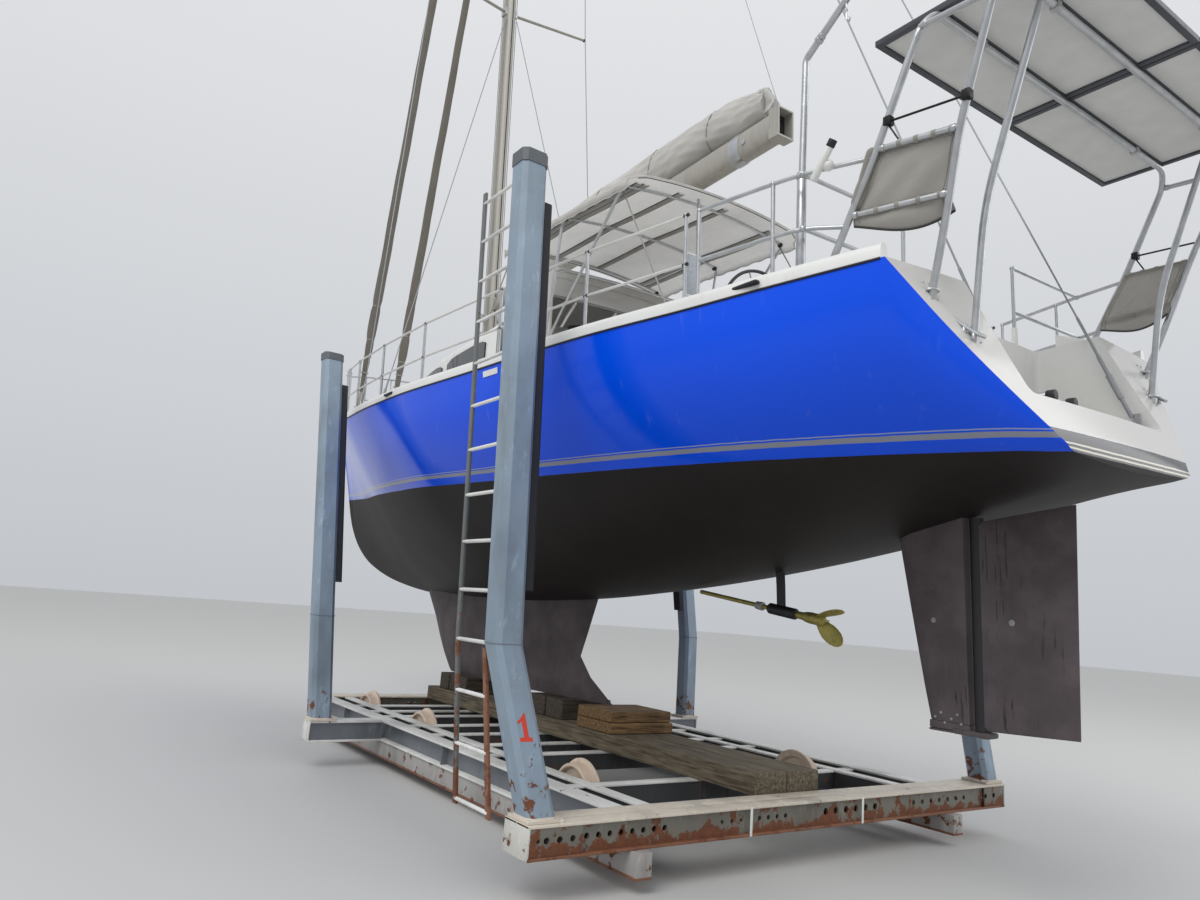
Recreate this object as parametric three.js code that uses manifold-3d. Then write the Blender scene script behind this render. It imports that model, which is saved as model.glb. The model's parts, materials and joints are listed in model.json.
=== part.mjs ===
// A cruising sailing yacht that stands, leaning a little to port, on its slipway cradle.
// Millimetres. +X to the bow, +Y to port, +Z up. The origin is moved at the end to the
// middle of the footprint. Until then X = 0 is the aft face of the cradle's aft beam.
import * as THREE from 'three';
import { mergeVertices } from 'three/addons/utils/BufferGeometryUtils.js';
import Module from 'manifold-3d';

const wasm = await Module();
wasm.setup();

// Driving dimensions of the yacht
const gap = 0.3;
const heel = THREE.MathUtils.degToRad(2.5);
const keelBottom = 745;
const deckCamber = 55;
const mastX = 5450;
const mastTop = 20600;
const boomHeight = 5400;
const boomEnd = 380;
const boomEndHeight = 5700;
const boomLong = 130;
const boomWide = 95;
const stockX = -1235;
const stockRadius = 45;
const rudderBottom = 1075;
const shaftAft = new THREE.Vector3(-60, 0, 1650);
const shaftExit = new THREE.Vector3(1380, 0, 1842);
const shaftRadius = 18;
const railTube = 13;

// Driving dimensions of the cradle
const beamTop = 420;
const beamDepth = 187;
const beamWidth = 270;
const beamHalf = 2360;
const frameAft = 0;
const frameFore = 6100;
const sillY = 1510;
const sillWidth = 150;
const runnerFoot = 80;
const wheelRadius = 260;
const wheelWidth = 110;
const axleRadius = 35;
const wheelY = 1190;
const wheelX = [1262, 4022, 5500];
const postSize = 190;
const kneeZ = 1370;

const paint = {
  hull: ['#0a3fd0', 0.18, 0.1],
  white: ['#e9eaea', 0.35, 0.0],
  primer: ['#3c3638', 0.7, 0.0],
  steel: ['#c6c8ca', 0.25, 0.9],
  alloy: ['#b9b5ad', 0.4, 0.7],
  canvas: ['#b8b5ae', 0.9, 0.0],
  sail: ['#6c675f', 0.9, 0.0],
  bronze: ['#b8a93f', 0.5, 0.4],
  black: ['#202024', 0.5, 0.1],
  cradle: ['#8f9aa6', 0.6, 0.3],
  rusty: ['#8a7f78', 0.8, 0.3],
  timber: ['#7b7264', 0.9, 0.0],
  block: ['#8d6640', 0.9, 0.0],
  pad: ['#2c2c30', 0.9, 0.0],
  wheel: ['#a5857a', 0.7, 0.3],
};

// Solids and their meshes

function solid(geometry) {
  const bare = geometry.clone();
  bare.deleteAttribute('normal');
  bare.deleteAttribute('uv');
  const merged = mergeVertices(bare, 0.001);
  const mesh = new wasm.Mesh({
    numProp: 3,
    vertProperties: new Float32Array(merged.attributes.position.array),
    triVerts: new Uint32Array(merged.index.array),
  });
  return new wasm.Manifold(mesh);
}

function surface(body) {
  const mesh = body.getMesh();
  const geometry = new THREE.BufferGeometry();
  geometry.setAttribute('position', new THREE.BufferAttribute(mesh.vertProperties, 3));
  geometry.setIndex(new THREE.BufferAttribute(mesh.triVerts, 1));
  geometry.computeVertexNormals();
  return geometry;
}

function join(...bodies) {
  return bodies.reduce((whole, body) => whole.add(body));
}

// Closed skin over rings of like points, with a fan on each end
function loft(rings) {
  const count = rings[0].length;
  const points = [];
  const faces = [];
  for (const ring of rings) {
    for (const point of ring) points.push(point.x, point.y, point.z);
  }
  for (let r = 0; r < rings.length - 1; r += 1) {
    for (let k = 0; k < count; k += 1) {
      const a = r * count + k;
      const b = r * count + (k + 1) % count;
      faces.push(a, b, a + count, b, b + count, a + count);
    }
  }
  const ends = [[rings[0], 0, true], [rings[rings.length - 1], (rings.length - 1) * count, false]];
  for (const [ring, start, flip] of ends) {
    const middle = new THREE.Vector3();
    ring.forEach((point) => middle.addScaledVector(point, 1 / count));
    const hub = points.length / 3;
    points.push(middle.x, middle.y, middle.z);
    for (let k = 0; k < count; k += 1) {
      const next = start + (k + 1) % count;
      if (flip) faces.push(hub, next, start + k);
      else faces.push(hub, start + k, next);
    }
  }
  const geometry = new THREE.BufferGeometry();
  geometry.setAttribute('position', new THREE.Float32BufferAttribute(points, 3));
  geometry.setIndex(faces);
  const body = solid(geometry);
  if (body.volume() > 0) return body;
  for (let f = 0; f < faces.length; f += 3) [faces[f], faces[f + 1]] = [faces[f + 1], faces[f]];
  geometry.setIndex(faces);
  return solid(geometry);
}

const v = (x, y, z) => new THREE.Vector3(x, y, z);

// Round bar along a bent line, its corners mitred
function pipe(points, radius, sides = 8) {
  const rings = [];
  const legs = points.slice(1).map((point, i) => point.clone().sub(points[i]).normalize());
  const side = Math.abs(legs[0].z) < 0.9 ? v(0, 0, 1) : v(1, 0, 0);
  const first = side.clone().cross(legs[0]).normalize();
  const second = legs[0].clone().cross(first);
  let spokes = [];
  for (let k = 0; k < sides; k += 1) {
    const angle = (2 * Math.PI * (k + 0.5)) / sides;
    spokes.push(first.clone().multiplyScalar(radius * Math.cos(angle))
      .addScaledVector(second, radius * Math.sin(angle)));
  }
  points.forEach((point, i) => {
    const into = legs[Math.max(i - 1, 0)];
    const out = legs[Math.min(i, legs.length - 1)];
    const cut = into.clone().add(out).normalize();
    const mitred = spokes.map((spoke) => spoke.clone()
      .addScaledVector(into, -spoke.dot(cut) / into.dot(cut)));
    rings.push(mitred.map((spoke) => spoke.clone().add(point)));
    spokes = mitred.map((spoke) => spoke.clone().addScaledVector(out, -spoke.dot(out)));
  });
  return loft(rings);
}

function box(x0, x1, y0, y1, z0, z1) {
  const geometry = new THREE.BoxGeometry(x1 - x0, y1 - y0, z1 - z0);
  geometry.translate((x0 + x1) / 2, (y0 + y1) / 2, (z0 + z1) / 2);
  return solid(geometry);
}

// Outline in X and Z, drawn through from one Y to the other
function sideways(outline, y0, y1) {
  const shape = new THREE.Shape(outline.map(([x, z]) => new THREE.Vector2(x, z)));
  const geometry = new THREE.ExtrudeGeometry(shape, { depth: y1 - y0, bevelEnabled: false });
  geometry.rotateX(Math.PI / 2);
  geometry.translate(0, y1, 0);
  return solid(geometry);
}

// Outline in Y and Z, drawn through from one X to the other
function lengthways(outline, x0, x1) {
  const shape = new THREE.Shape(outline.map(([y, z]) => new THREE.Vector2(y, z)));
  const geometry = new THREE.ExtrudeGeometry(shape, { depth: x1 - x0, bevelEnabled: false });
  geometry.applyMatrix4(new THREE.Matrix4().makeBasis(v(0, 1, 0), v(0, 0, 1), v(1, 0, 0)));
  geometry.translate(x0, 0, 0);
  return solid(geometry);
}

// Drum whose axle lies along Y
function drum(x, y, z, radius, width, sides = 24) {
  const geometry = new THREE.CylinderGeometry(radius, radius, width, sides);
  geometry.translate(x, y, z);
  return solid(geometry);
}

// Upright drum
function upright(x, y, z0, z1, radius, top = radius, sides = 16) {
  const geometry = new THREE.CylinderGeometry(top, radius, z1 - z0, sides);
  geometry.rotateX(Math.PI / 2);
  geometry.translate(x, y, (z0 + z1) / 2);
  return solid(geometry);
}

const yacht = new THREE.Group();
const cradle = new THREE.Group();

function add(group, name, body, look) {
  const [color, roughness, metalness] = paint[look];
  const material = new THREE.MeshStandardMaterial({ color, roughness, metalness });
  const mesh = new THREE.Mesh(surface(body), material);
  mesh.name = name;
  group.add(mesh);
}

// Hull

// Stations from the transom to the stem: distance, half width and height of the deck edge,
// half width and height of the painted waterline, height of the centre line, and how far the
// bottom is a straight V rather than round.
const stations = [
  // x, edge, edgeZ, water, waterZ, keelZ, vee
  [-2150, 700, 2610, 640, 2580, 2548, 0.0],
  [-2000, 960, 2880, 800, 2585, 2528, 0.0],
  [-1850, 1190, 3155, 900, 2588, 2500, 0.0],
  [-1660, 1460, 3530, 990, 2590, 2455, 0.0],
  [-1000, 1660, 3490, 1260, 2590, 2300, 0.0],
  [-400, 1790, 3470, 1450, 2598, 2160, 0.0],
  [500, 1910, 3480, 1620, 2615, 1985, 0.05],
  [1600, 1980, 3490, 1720, 2635, 1835, 0.05],
  [3000, 2010, 3530, 1730, 2680, 1705, 0.08],
  [4200, 1940, 3580, 1580, 2735, 1650, 0.12],
  [5400, 1770, 3650, 1320, 2795, 1640, 0.2],
  [6600, 1480, 3790, 980, 2880, 1680, 0.35],
  [7800, 1110, 4000, 620, 2970, 1800, 0.5],
  [9000, 690, 4250, 290, 3060, 2060, 0.6],
  [9600, 480, 4360, 150, 3100, 2330, 0.65],
  [10050, 330, 4445, 60, 3250, 2720, 0.7],
  [10450, 210, 4510, 45, 3800, 3450, 0.7],
  [10800, 110, 4565, 30, 4260, 4080, 0.7],
  [11100, 25, 4615, 15, 4590, 4560, 0.7],
];

const transom = 3;
const deckSteps = 3;
const sideSteps = 5;
const bottomSteps = 8;
const ringX = [
  -2150, -2000, -1850, -1660, -1350, -1000, -600, -200, 300, 800, 1300, 1900, 2500, 3100, 3700, 4300,
  4900, 5500, 6100, 6700, 7300, 7900, 8500, 9000, 9400, 9700, 9950, 10150, 10350, 10550, 10750, 10930, 11100,
];

// Value of one column on a smooth line through the rows, which doesn't overshoot them
function lined(rows, x, column) {
  const last = rows.length - 1;
  const at = Math.min(Math.max(x, rows[0][0]), rows[last][0]);
  const i = Math.max(1, rows.findIndex((row) => row[0] >= at));
  const span = (n) => rows[n + 1][0] - rows[n][0];
  const slope = (n) => (rows[n + 1][column] - rows[n][column]) / span(n);
  const tangent = (n) => {
    if (n === 0) return slope(0);
    if (n === last) return slope(last - 1);
    const [before, after] = [slope(n - 1), slope(n)];
    if (before * after <= 0) return 0;
    const [a, b] = [2 * span(n) + span(n - 1), span(n) + 2 * span(n - 1)];
    return (a + b) / (a / before + b / after);
  };
  const length = span(i - 1);
  const t = (at - rows[i - 1][0]) / length;
  return (2 * t ** 3 - 3 * t ** 2 + 1) * rows[i - 1][column]
    + (t ** 3 - 2 * t ** 2 + t) * length * tangent(i - 1)
    + (3 * t ** 2 - 2 * t ** 3) * rows[i][column] + (t ** 3 - t ** 2) * length * tangent(i);
}

// The deck edge has a corner at the transom
const deckLine = (x, column) => lined(x <= stations[transom][0] ? stations.slice(0, transom + 1)
  : stations.slice(transom), x, column);
const edgeY = (x) => deckLine(x, 1);
const edgeZ = (x) => deckLine(x, 2);
const keelZ = (x) => lined(stations, x, 5);
const centreZ = (x) => edgeZ(x) + deckCamber * Math.min(1, edgeY(x) / 1000);

function bezier(points, t) {
  if (points.length === 1) return points[0];
  const next = points.slice(1).map(([y, z], i) => [points[i][0] + (y - points[i][0]) * t,
    points[i][1] + (z - points[i][1]) * t]);
  return bezier(next, t);
}

function hullRing(x, grow, shift) {
  const [edge, top] = [edgeY(x), edgeZ(x)];
  const [water, waterZ, foot, vee] = [3, 4, 5, 6].map((column) => lined(stations, x, column));
  const topSlope = (edge - water) / Math.max(top - waterZ, 10);
  const lowSlope = water / Math.max(waterZ - foot, 10);
  const slope = topSlope + 0.12 * Math.max(0, lowSlope - topSlope);
  const reach = 0.5 * (top - waterZ);
  const side = [[edge, top], [Math.min(water + slope * reach, edge), waterZ + reach], [water, waterZ]];
  const drop = waterZ - foot;
  const lowReach = (0.45 * drop) / Math.max(1, slope);
  const bottom = [[water, waterZ], [water - slope * lowReach, waterZ - lowReach],
    [0.5 * water, foot + vee * 0.5 * drop], [0, foot]];
  const port = [];
  for (let i = 1; i < deckSteps; i += 1) {
    const y = (edge * i) / deckSteps;
    port.push([y, centreZ(x) - (centreZ(x) - top) * (i / deckSteps) ** 2 + grow]);
  }
  for (let i = 0; i < sideSteps; i += 1) {
    const [y, z] = bezier(side, i / sideSteps);
    port.push([y + grow, i === 0 ? z + grow : z]);
  }
  for (let i = 0; i < bottomSteps; i += 1) {
    const [y, z] = bezier(bottom, i / bottomSteps);
    port.push([y + grow, z - grow]);
  }
  const ring = [v(x + shift, 0, centreZ(x) + grow)];
  port.forEach(([y, z]) => ring.push(v(x + shift, y, z)));
  ring.push(v(x + shift, 0, foot - grow));
  port.reverse().forEach(([y, z]) => ring.push(v(x + shift, -y, z)));
  return ring;
}

function hullBody(grow) {
  const last = ringX.length - 1;
  return loft(ringX.map((x, i) => {
    const shift = i === 0 ? -grow : i === last ? grow : 0;
    return hullRing(x, grow, shift);
  }));
}

// Deck height at a place off the centre line
const deckZ = (x, y) => centreZ(x) - (centreZ(x) - edgeZ(x)) * (y / edgeY(x)) ** 2;

const fullHull = hullBody(0);
const hullCutter = hullBody(gap);

const cockpit = { aft: 250, fore: 2850, half: 480, floor: 3160 };
const scoop = { fore: -1250, half: 760, floor: 2885 };
// Fastened on deck, cut to stand on it
const onDeck = (body) => body.subtract(hullCutter);
const sunk = 40;
const wellBody = box(cockpit.aft, cockpit.fore, -cockpit.half, cockpit.half, cockpit.floor, 4200);
const scoopBody = box(-2400, scoop.fore, -scoop.half, scoop.half, scoop.floor, 4200);
add(yacht, 'hull', fullHull.subtract(wellBody).subtract(scoopBody), 'hull');

// Toe rails along the deck edges

function toeRail(side) {
  const rings = ringX.slice(3, -1).map((x) => {
    const y = Math.max(edgeY(x) - 30, 20);
    const z = edgeZ(x);
    return [
      v(x, side * (y - 20), z + 28), v(x, side * (y + 20), z + 28),
      v(x, side * (y + 20), z - 8), v(x, side * (y - 20), z - 8),
    ];
  });
  return loft(rings);
}
const stemCap = box(10700, 11080, -130, 130, 4590, 4640);
const toeRails = join(toeRail(1), toeRail(-1), stemCap).subtract(hullCutter);

// Coachroof and coamings

const houseRows = [
  // x, half width at the deck, half width at the top, height of the top
  [3000, 1190, 1020, 4440],
  [4600, 1080, 900, 4400],
  [5900, 850, 680, 4290],
  [6700, 600, 440, 4150],
  [7100, 430, 290, 4010],
];

function houseBody() {
  return loft(houseRows.map(([x, low, high, top]) => {
    const port = [[low, edgeZ(x) - 60], [low - 15, top - 110], [high, top - 15]];
    const ring = [v(x, 0, top + 40)];
    port.slice().reverse().forEach(([y, z]) => ring.push(v(x, y, z)));
    port.forEach(([y, z]) => ring.push(v(x, -y, z)));
    return ring;
  })).subtract(hullCutter);
}

const house = houseBody();

function coamingBody(side) {
  const rings = [[-300, 1020, 130], [250, 1080, 330], [3000 - gap, 1150, 440]].map(([x, out, rise]) => {
    const low = edgeZ(x) - 60;
    const high = centreZ(x) + rise;
    return [v(x, side * 620, low), v(x, side * out, low), v(x, side * (out - 90), high),
      v(x, side * 650, high)];
  });
  return loft(rings).subtract(hullCutter);
}

// Foil section between a leading and a trailing edge
function foil(z, fore, aft, thick, steps = 7) {
  const ring = [];
  const length = fore - aft;
  for (let i = 0; i <= steps; i += 1) {
    const t = (1 - Math.cos((Math.PI * i) / steps)) / 2;
    const half = thick * 2.6 * Math.sqrt(t) * (1 - t) * 0.5 + 3;
    ring.push(v(fore - length * t, half, z));
  }
  for (let i = steps; i >= 0; i -= 1) {
    const t = (1 - Math.cos((Math.PI * i) / steps)) / 2;
    const half = thick * 2.6 * Math.sqrt(t) * (1 - t) * 0.5 + 3;
    ring.push(v(fore - length * t, -half, z));
  }
  return ring;
}

// Keel, its trailing edge swept out to a tip at the foot
const keelRows = [
  // z, leading edge, trailing edge, thickness
  [1900, 6880, 2700, 330],
  [1640, 6640, 2810, 330],
  [1150, 6260, 3050, 330],
  [960, 6100, 2860, 350],
  [keelBottom, 5900, 2480, 300],
];
const keel = loft(keelRows.map((row) => foil(...row))).subtract(hullCutter);

// Skeg in front of the rudder
const skegRows = [
  // z, leading edge, trailing edge, thickness
  [2440, -640, -1170, 130],
  [1290, -850, -1175, 100],
  [1100, -890, -1175, 90],
];
const skegFoot = 1100;
const skegBody = loft(skegRows.map(([z, fore, aft, thick]) => {
  const half = thick / 2;
  return [v(fore, 6, z), v(fore - 130, half, z), v(aft, half, z), v(aft, -half, z),
    v(fore - 130, -half, z), v(fore, -6, z)];
}));
const stockRoom = upright(stockX, 0, 900, 2900, stockRadius + 12, stockRadius + 12, 24);
const skeg = skegBody.subtract(hullCutter).subtract(stockRoom);

// Rudder blade on its stock
const bladeTop = (x) => keelZ(x) - 35;
const bladeOutline = [
  [stockX, rudderBottom], [-1800, rudderBottom + 25], [-1835, bladeTop(-1835) - 70],
  [stockX, bladeTop(stockX) - 10],
];
const blade = sideways(bladeOutline, -34, 34);
const stock = upright(stockX, 0, rudderBottom - 6 + gap, bladeTop(stockX) + 20,
  stockRadius, stockRadius, 20);
const rudder = join(blade, stock);

// Heel fitting under the skeg, which holds the foot of the stock
const heelFitting = box(stockX - 70, -895, -50, 50, 1035, rudderBottom - 6)
  .add(box(-1170, -900, -40, 40, rudderBottom - 20, skegFoot - gap));

// Propeller, its shaft and the bracket that holds it
const shaftWay = shaftExit.clone().sub(shaftAft).normalize();
const onShaft = (distance) => shaftAft.clone().addScaledVector(shaftWay, distance);
const shaftBore = pipe([onShaft(-400), onShaft(2300)], shaftRadius + 0.5, 24);
const shaftSleeve = pipe([onShaft(290), onShaft(560)], 42, 16);
const bracketStrut = sideways([[330, 1700], [420, 1712], [440, 2140], [350, 2140]], -14, 14);
const bracket = join(shaftSleeve, bracketStrut).subtract(hullCutter).subtract(shaftBore);
const shaftBody = pipe([onShaft(60), onShaft(1350)], shaftRadius, 24);
const hubBody = join(pipe([onShaft(20), onShaft(190)], 42, 16), pipe([onShaft(185), onShaft(275)], 30, 16));
const propellerBlades = [
  // degrees round the shaft, opened from the shaft, and about its own length
  { turn: 0, open: 20, twist: 12 },
  { turn: 160, open: 36, twist: 68 },
];

function propellerBlade({ turn, open, twist }) {
  const geometry = new THREE.SphereGeometry(1, 12, 8);
  geometry.scale(125, 62, 10);
  geometry.rotateX(THREE.MathUtils.degToRad(twist));
  geometry.translate(-105, 0, 0);
  geometry.rotateY(THREE.MathUtils.degToRad(open));
  geometry.translate(0, 0, 20);
  geometry.rotateX(THREE.MathUtils.degToRad(turn));
  geometry.rotateY(-Math.asin(shaftWay.z));
  geometry.translate(...onShaft(80).toArray());
  return solid(geometry);
}
const propeller = join(shaftBody.subtract(hullCutter), hubBody,
  ...propellerBlades.map(propellerBlade));

add(yacht, 'keel', keel, 'primer');
add(yacht, 'skeg', skeg, 'primer');
add(yacht, 'rudder', rudder, 'primer');
add(yacht, 'rudder_heel_fitting', heelFitting, 'black');
add(yacht, 'shaft_bracket', bracket, 'primer');
add(yacht, 'propeller', propeller, 'bronze');
add(yacht, 'toe_rail', toeRails, 'alloy');
add(yacht, 'coachroof', house, 'white');
const coamings = [1, -1].map(coamingBody);
const coamingTop = (x) => centreZ(x) + 330 + (110 * (x - 250)) / 2750;
// Fastened on the coamings, cut to stand on them
const onCoamings = (body) => coamings.reduce(
  (rest, coaming) => rest.subtract(coaming.translate([0, 0, gap])),
  body,
);
const winchX = 2020;
add(yacht, 'coaming_port', coamings[0], 'white');
add(yacht, 'coaming_starboard', coamings[1], 'white');

// Mast with its spreaders

function ellipse(x, y, z, long, wide, sides = 14) {
  const ring = [];
  for (let k = 0; k < sides; k += 1) {
    const angle = (2 * Math.PI * k) / sides;
    ring.push(v(x + long * Math.cos(angle), y + wide * Math.sin(angle), z));
  }
  return ring;
}

const houseTop = 4370;
const mastLong = 105;
const mastWide = 72;
const spreaders = [
  // height, half span, sweep aft
  [9600, 1150, 120],
  [14900, 900, 100],
];
const spars = spreaders.map(([z, span, sweep]) => pipe(
  [v(mastX - sweep, span, z + 40), v(mastX, 0, z), v(mastX - sweep, -span, z + 40)], 26, 8));
const mastHead = box(mastX - 190, mastX + 150, -45, 45, mastTop - 60, mastTop + 40);
const gooseneckLug = box(mastX - mastLong - 42, mastX - mastLong + 20, -30, 30,
  boomHeight - 80, boomHeight - 48).add(box(mastX - mastLong - 42, mastX - mastLong + 20, -30, 30,
  boomHeight + 48, boomHeight + 80));
const mastBody = join(loft([
  ellipse(mastX, 0, houseTop - sunk, mastLong, mastWide),
  ellipse(mastX, 0, mastTop, mastLong, mastWide),
]), mastHead, gooseneckLug, ...spars).subtract(house.translate([0, 0, gap]));
add(yacht, 'mast', mastBody, 'alloy');

// Boom with the mainsail flaked in its cover
const gooseneck = v(mastX - mastLong - 25, 0, boomHeight);
const boomTip = v(boomEnd, 0, boomEndHeight);
const boomRing = (point, long, wide) => ellipse(0, 0, 0, long, wide, 12)
  .map((p) => v(point.x, p.y, point.z + p.x));
const alongBoom = (t) => gooseneck.clone().lerp(boomTip, t);
const boomBody = loft([boomRing(gooseneck.clone().add(v(-90, 0, 0)), 85, 55),
  boomRing(alongBoom(0.12), boomLong, boomWide), boomRing(boomTip, boomLong, boomWide)]);
const boomFitting = join(upright(gooseneck.x, 0, boomHeight - 48 + gap, boomHeight + 48 - gap, 16),
  box(gooseneck.x - 110, gooseneck.x, -14, 14, boomHeight - 40, boomHeight + 40));
add(yacht, 'boom', join(boomBody, boomFitting), 'alloy');
const coverRows = [
  // share of the boom, half height, half width
  [0.12, 240, 105], [0.35, 225, 120], [0.7, 218, 120], [0.86, 205, 115], [0.96, 150, 100],
];
const cover = loft(coverRows.map(([t, high, wide]) => {
  const point = alongBoom(t);
  return boomRing(v(point.x, 0, point.z + boomLong + gap + high), high, wide);
}));
add(yacht, 'mainsail_cover', cover, 'canvas');

// Stays, with the two furled headsails
const headStayFoot = v(10330, 0, centreZ(10330) - 20);
const headStayTop = v(mastX + 170, 0, mastTop - 80);
const innerStayFoot = v(8690, 0, centreZ(8690) - 20);
const innerStayTop = v(mastX + mastLong + 13.8, 0, 15560);

function furledSail(foot, top, radius) {
  const at = (t) => foot.clone().lerp(top, t);
  const way = top.clone().sub(foot).normalize();
  const rows = [
    // share of the stay, radius
    [0, 12], [0.012, 12], [0.0125, 70], [0.02, 70], [0.0205, 22], [0.05, radius * 0.75],
    [0.12, radius], [0.55, radius * 0.8], [0.93, radius * 0.45], [0.95, 14], [1, 14],
  ];
  const side = v(0, 1, 0);
  const front = way.clone().cross(side).normalize();
  return loft(rows.map(([t, r]) => {
    const ring = [];
    for (let k = 0; k < 10; k += 1) {
      const angle = (2 * Math.PI * k) / 10;
      ring.push(at(t).addScaledVector(side, r * Math.sin(angle))
        .addScaledVector(front, r * Math.cos(angle)));
    }
    return ring;
  }));
}
add(yacht, 'furled_genoa', onDeck(furledSail(headStayFoot, headStayTop, 78)), 'sail');
add(yacht, 'furled_staysail', onDeck(furledSail(innerStayFoot, innerStayTop, 66)), 'sail');

const wire = 7;
const backstayLegs = [];
for (const [side, hand] of [[1, 'port'], [-1, 'starboard']]) {
  const plate = v(mastX - 60, side * 1640, 0);
  plate.z = deckZ(plate.x, plate.y) + 5;
  const [low, high] = spreaders;
  const capPath = [plate, v(mastX - low[2], side * (low[1] + 34), low[0] + 40),
    v(mastX - high[2], side * (high[1] + 34), high[0] + 40), v(mastX - 60, side * 70, mastTop - 70)];
  const aftPlate = v(mastX - 520, side * 1600, 0);
  aftPlate.z = deckZ(aftPlate.x, aftPlate.y) + 5;
  const lowerEnd = v(mastX - 70, side * 84, low[0] - 120);
  const chainplate = pipe([aftPlate.clone().add(v(-40, 0, 6)), plate.clone().add(v(40, 0, 6))], 9, 6);
  add(yacht, 'shrouds_' + hand, onDeck(join(pipe(capPath, wire, 6), pipe([aftPlate, lowerEnd], wire, 6),
    chainplate)), 'steel');
  backstayLegs.push(pipe([v(-1900, side * 700, scoop.floor + 8), v(mastX - 215, side * 30, mastTop - 20)],
    wire, 6));
}
const backstayPlate = box(mastX - 235, mastX - 190 - gap, -42, 42, mastTop - 50, mastTop);
add(yacht, 'backstay', join(...backstayLegs, backstayPlate), 'steel');

// Arch over the stern, which carries the solar panel

const archTop = 4820;
const archTube = 20;
const archFore = [v(-1195, 1400, 3470), v(-1578, 1400, 4161), v(-1849, 1400, 4726), v(-1890, 1320, archTop)];
const archAft = [v(-1730, 1190, 3300), v(-1880, 1260, 3730), v(-2010, 1330, 4130), v(-2250, 1400, 4700),
  v(-2290, 1320, archTop)];
const archStern = [v(-1845, 1000, 3080), v(-1940, 1010, 3850), v(-2290, 1030, archTop)];
// Side tubes between the fore and aft legs: their two ends
const archLinks = [[archFore[2], archAft[3]], [archFore[1], archAft[2]],
  [v(-1398, 1400, 3850), v(-1915, 1280, 3835)]];

function archBody(grow) {
  const bars = [archFore[3], archAft[4]].map(({ x, y, z }) => pipe([v(x, y, z), v(x, -y, z)],
    archTube + grow, 8));
  for (const side of [1, -1]) {
    const on = (points) => points.map(({ x, y, z }) => v(x, side * y, z));
    for (const leg of [archFore, archAft, archStern]) bars.push(pipe(on(leg), archTube + grow, 8));
    for (const link of archLinks) bars.push(pipe(on(link), archTube - 3 + grow, 8));
  }
  return join(...bars);
}
add(yacht, 'stern_arch', onDeck(archBody(0)), 'steel');
const panelUnder = archTop + archTube * Math.cos(Math.PI / 8) + gap;
add(yacht, 'solar_panel', box(-2600, -1500, -1300, 1300, panelUnder, panelUnder + 35), 'black');

// Guard rails: stanchions with two lines, a pulpit at the bow and rails at the stern

const railRows = [
  // x, inset from the deck edge, height of the upper line
  [-400, 90, 640], [500, 90, 640], [1600, 90, 640], [3000, 90, 640], [4200, 90, 650],
  [5400, 90, 680], [6600, 90, 720], [7800, 90, 770], [8978, 95, 826],
];

function guardRail(side) {
  const spots = railRows.map(([x, inset, height]) => {
    const y = side * (edgeY(x) - inset);
    return { foot: v(x, y, deckZ(x, y)), top: v(x, y, deckZ(x, y) + height) };
  });
  const posts = spots.slice(0, -1).map(({ foot, top }) => pipe(
    [foot.clone().add(v(0, 0, -sunk)), top.clone().add(v(0, 0, 10))], railTube, 8));
  const upper = pipe(spots.map(({ top }) => top), 5, 6);
  const lower = pipe(spots.map(({ foot, top }) => foot.clone().lerp(top, 0.5)), 5, 6);
  return onDeck(join(upper, lower, ...posts));
}

function pulpitBody() {
  const path = [];
  const bars = [];
  const ends = [[9000, 95, 828], [9700, 95, 850], [10350, 95, 865], [10800, 40, 870]];
  for (const side of [1, -1]) {
    const top = ends.map(([x, inset, h]) => v(x, side * (edgeY(x) - inset), edgeZ(x) + h));
    path.push(top);
    for (const [x, inset, h] of ends.slice(0, 3)) {
      const y = side * Math.max(edgeY(x) - inset, 60);
      bars.push(pipe([v(x, y, deckZ(x, y) - sunk), v(x, side * (edgeY(x) - inset), edgeZ(x) + h)],
        railTube, 8));
    }
    bars.push(pipe(ends.slice(0, 3).map(([x, inset, h]) => v(x, side * (edgeY(x) - inset),
      edgeZ(x) + h * 0.52)), railTube, 8));
  }
  const nose = v(10930, 0, edgeZ(10900) + 870);
  const loop = pipe([...path[0], nose, ...path[1].reverse()], railTube, 8);
  return onDeck(join(loop, ...bars));
}

function pushpit(side) {
  const high = 640;
  const spots = [-500, -1000].map((x) => {
    const y = side * (edgeY(x) - 90);
    return [v(x, y, deckZ(x, y) - sunk), v(x, y, deckZ(x, y) + high)];
  });
  const turn = v(-1180, side * 1525, edgeZ(-1180) + high);
  const inner = v(-1180, side * 620, edgeZ(-1180) + high);
  const foot = v(-1180, side * 620, deckZ(-1180, 620) - sunk);
  const bars = [0, -320].map((drop) => {
    const end = archFore[1].clone().lerp(archFore[0], -drop / 600);
    return [...spots.map(([, top]) => top.clone().setZ(top.z + drop)), turn.clone().setZ(turn.z + drop),
      v(end.x, side * end.y, end.z)];
  });
  const gate = [0, -320].map((drop) => pipe([turn, inner].map((p) => p.clone().setZ(p.z + drop)),
    railTube, 8));
  const posts = [...spots, [foot, inner]].map(([low, top]) => pipe([low, top], railTube, 8));
  return onDeck(join(...bars.map((path) => pipe(path, railTube, 8)), ...gate, ...posts))
    .subtract(archBody(gap));
}

add(yacht, 'guard_rail_port', guardRail(1), 'steel');
add(yacht, 'guard_rail_starboard', guardRail(-1), 'steel');
add(yacht, 'pushpit_port', pushpit(1), 'steel');
add(yacht, 'pushpit_starboard', pushpit(-1), 'steel');
add(yacht, 'pulpit', pulpitBody(), 'steel');

// Cockpit cover on its frame
const biminiRows = [
  // x, height of the crown
  [1200, 5300], [1700, 5325], [2500, 5340], [3280, 5320],
];
const biminiHalf = 1020;
const biminiThick = 24;
const biminiDrop = 90;

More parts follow.
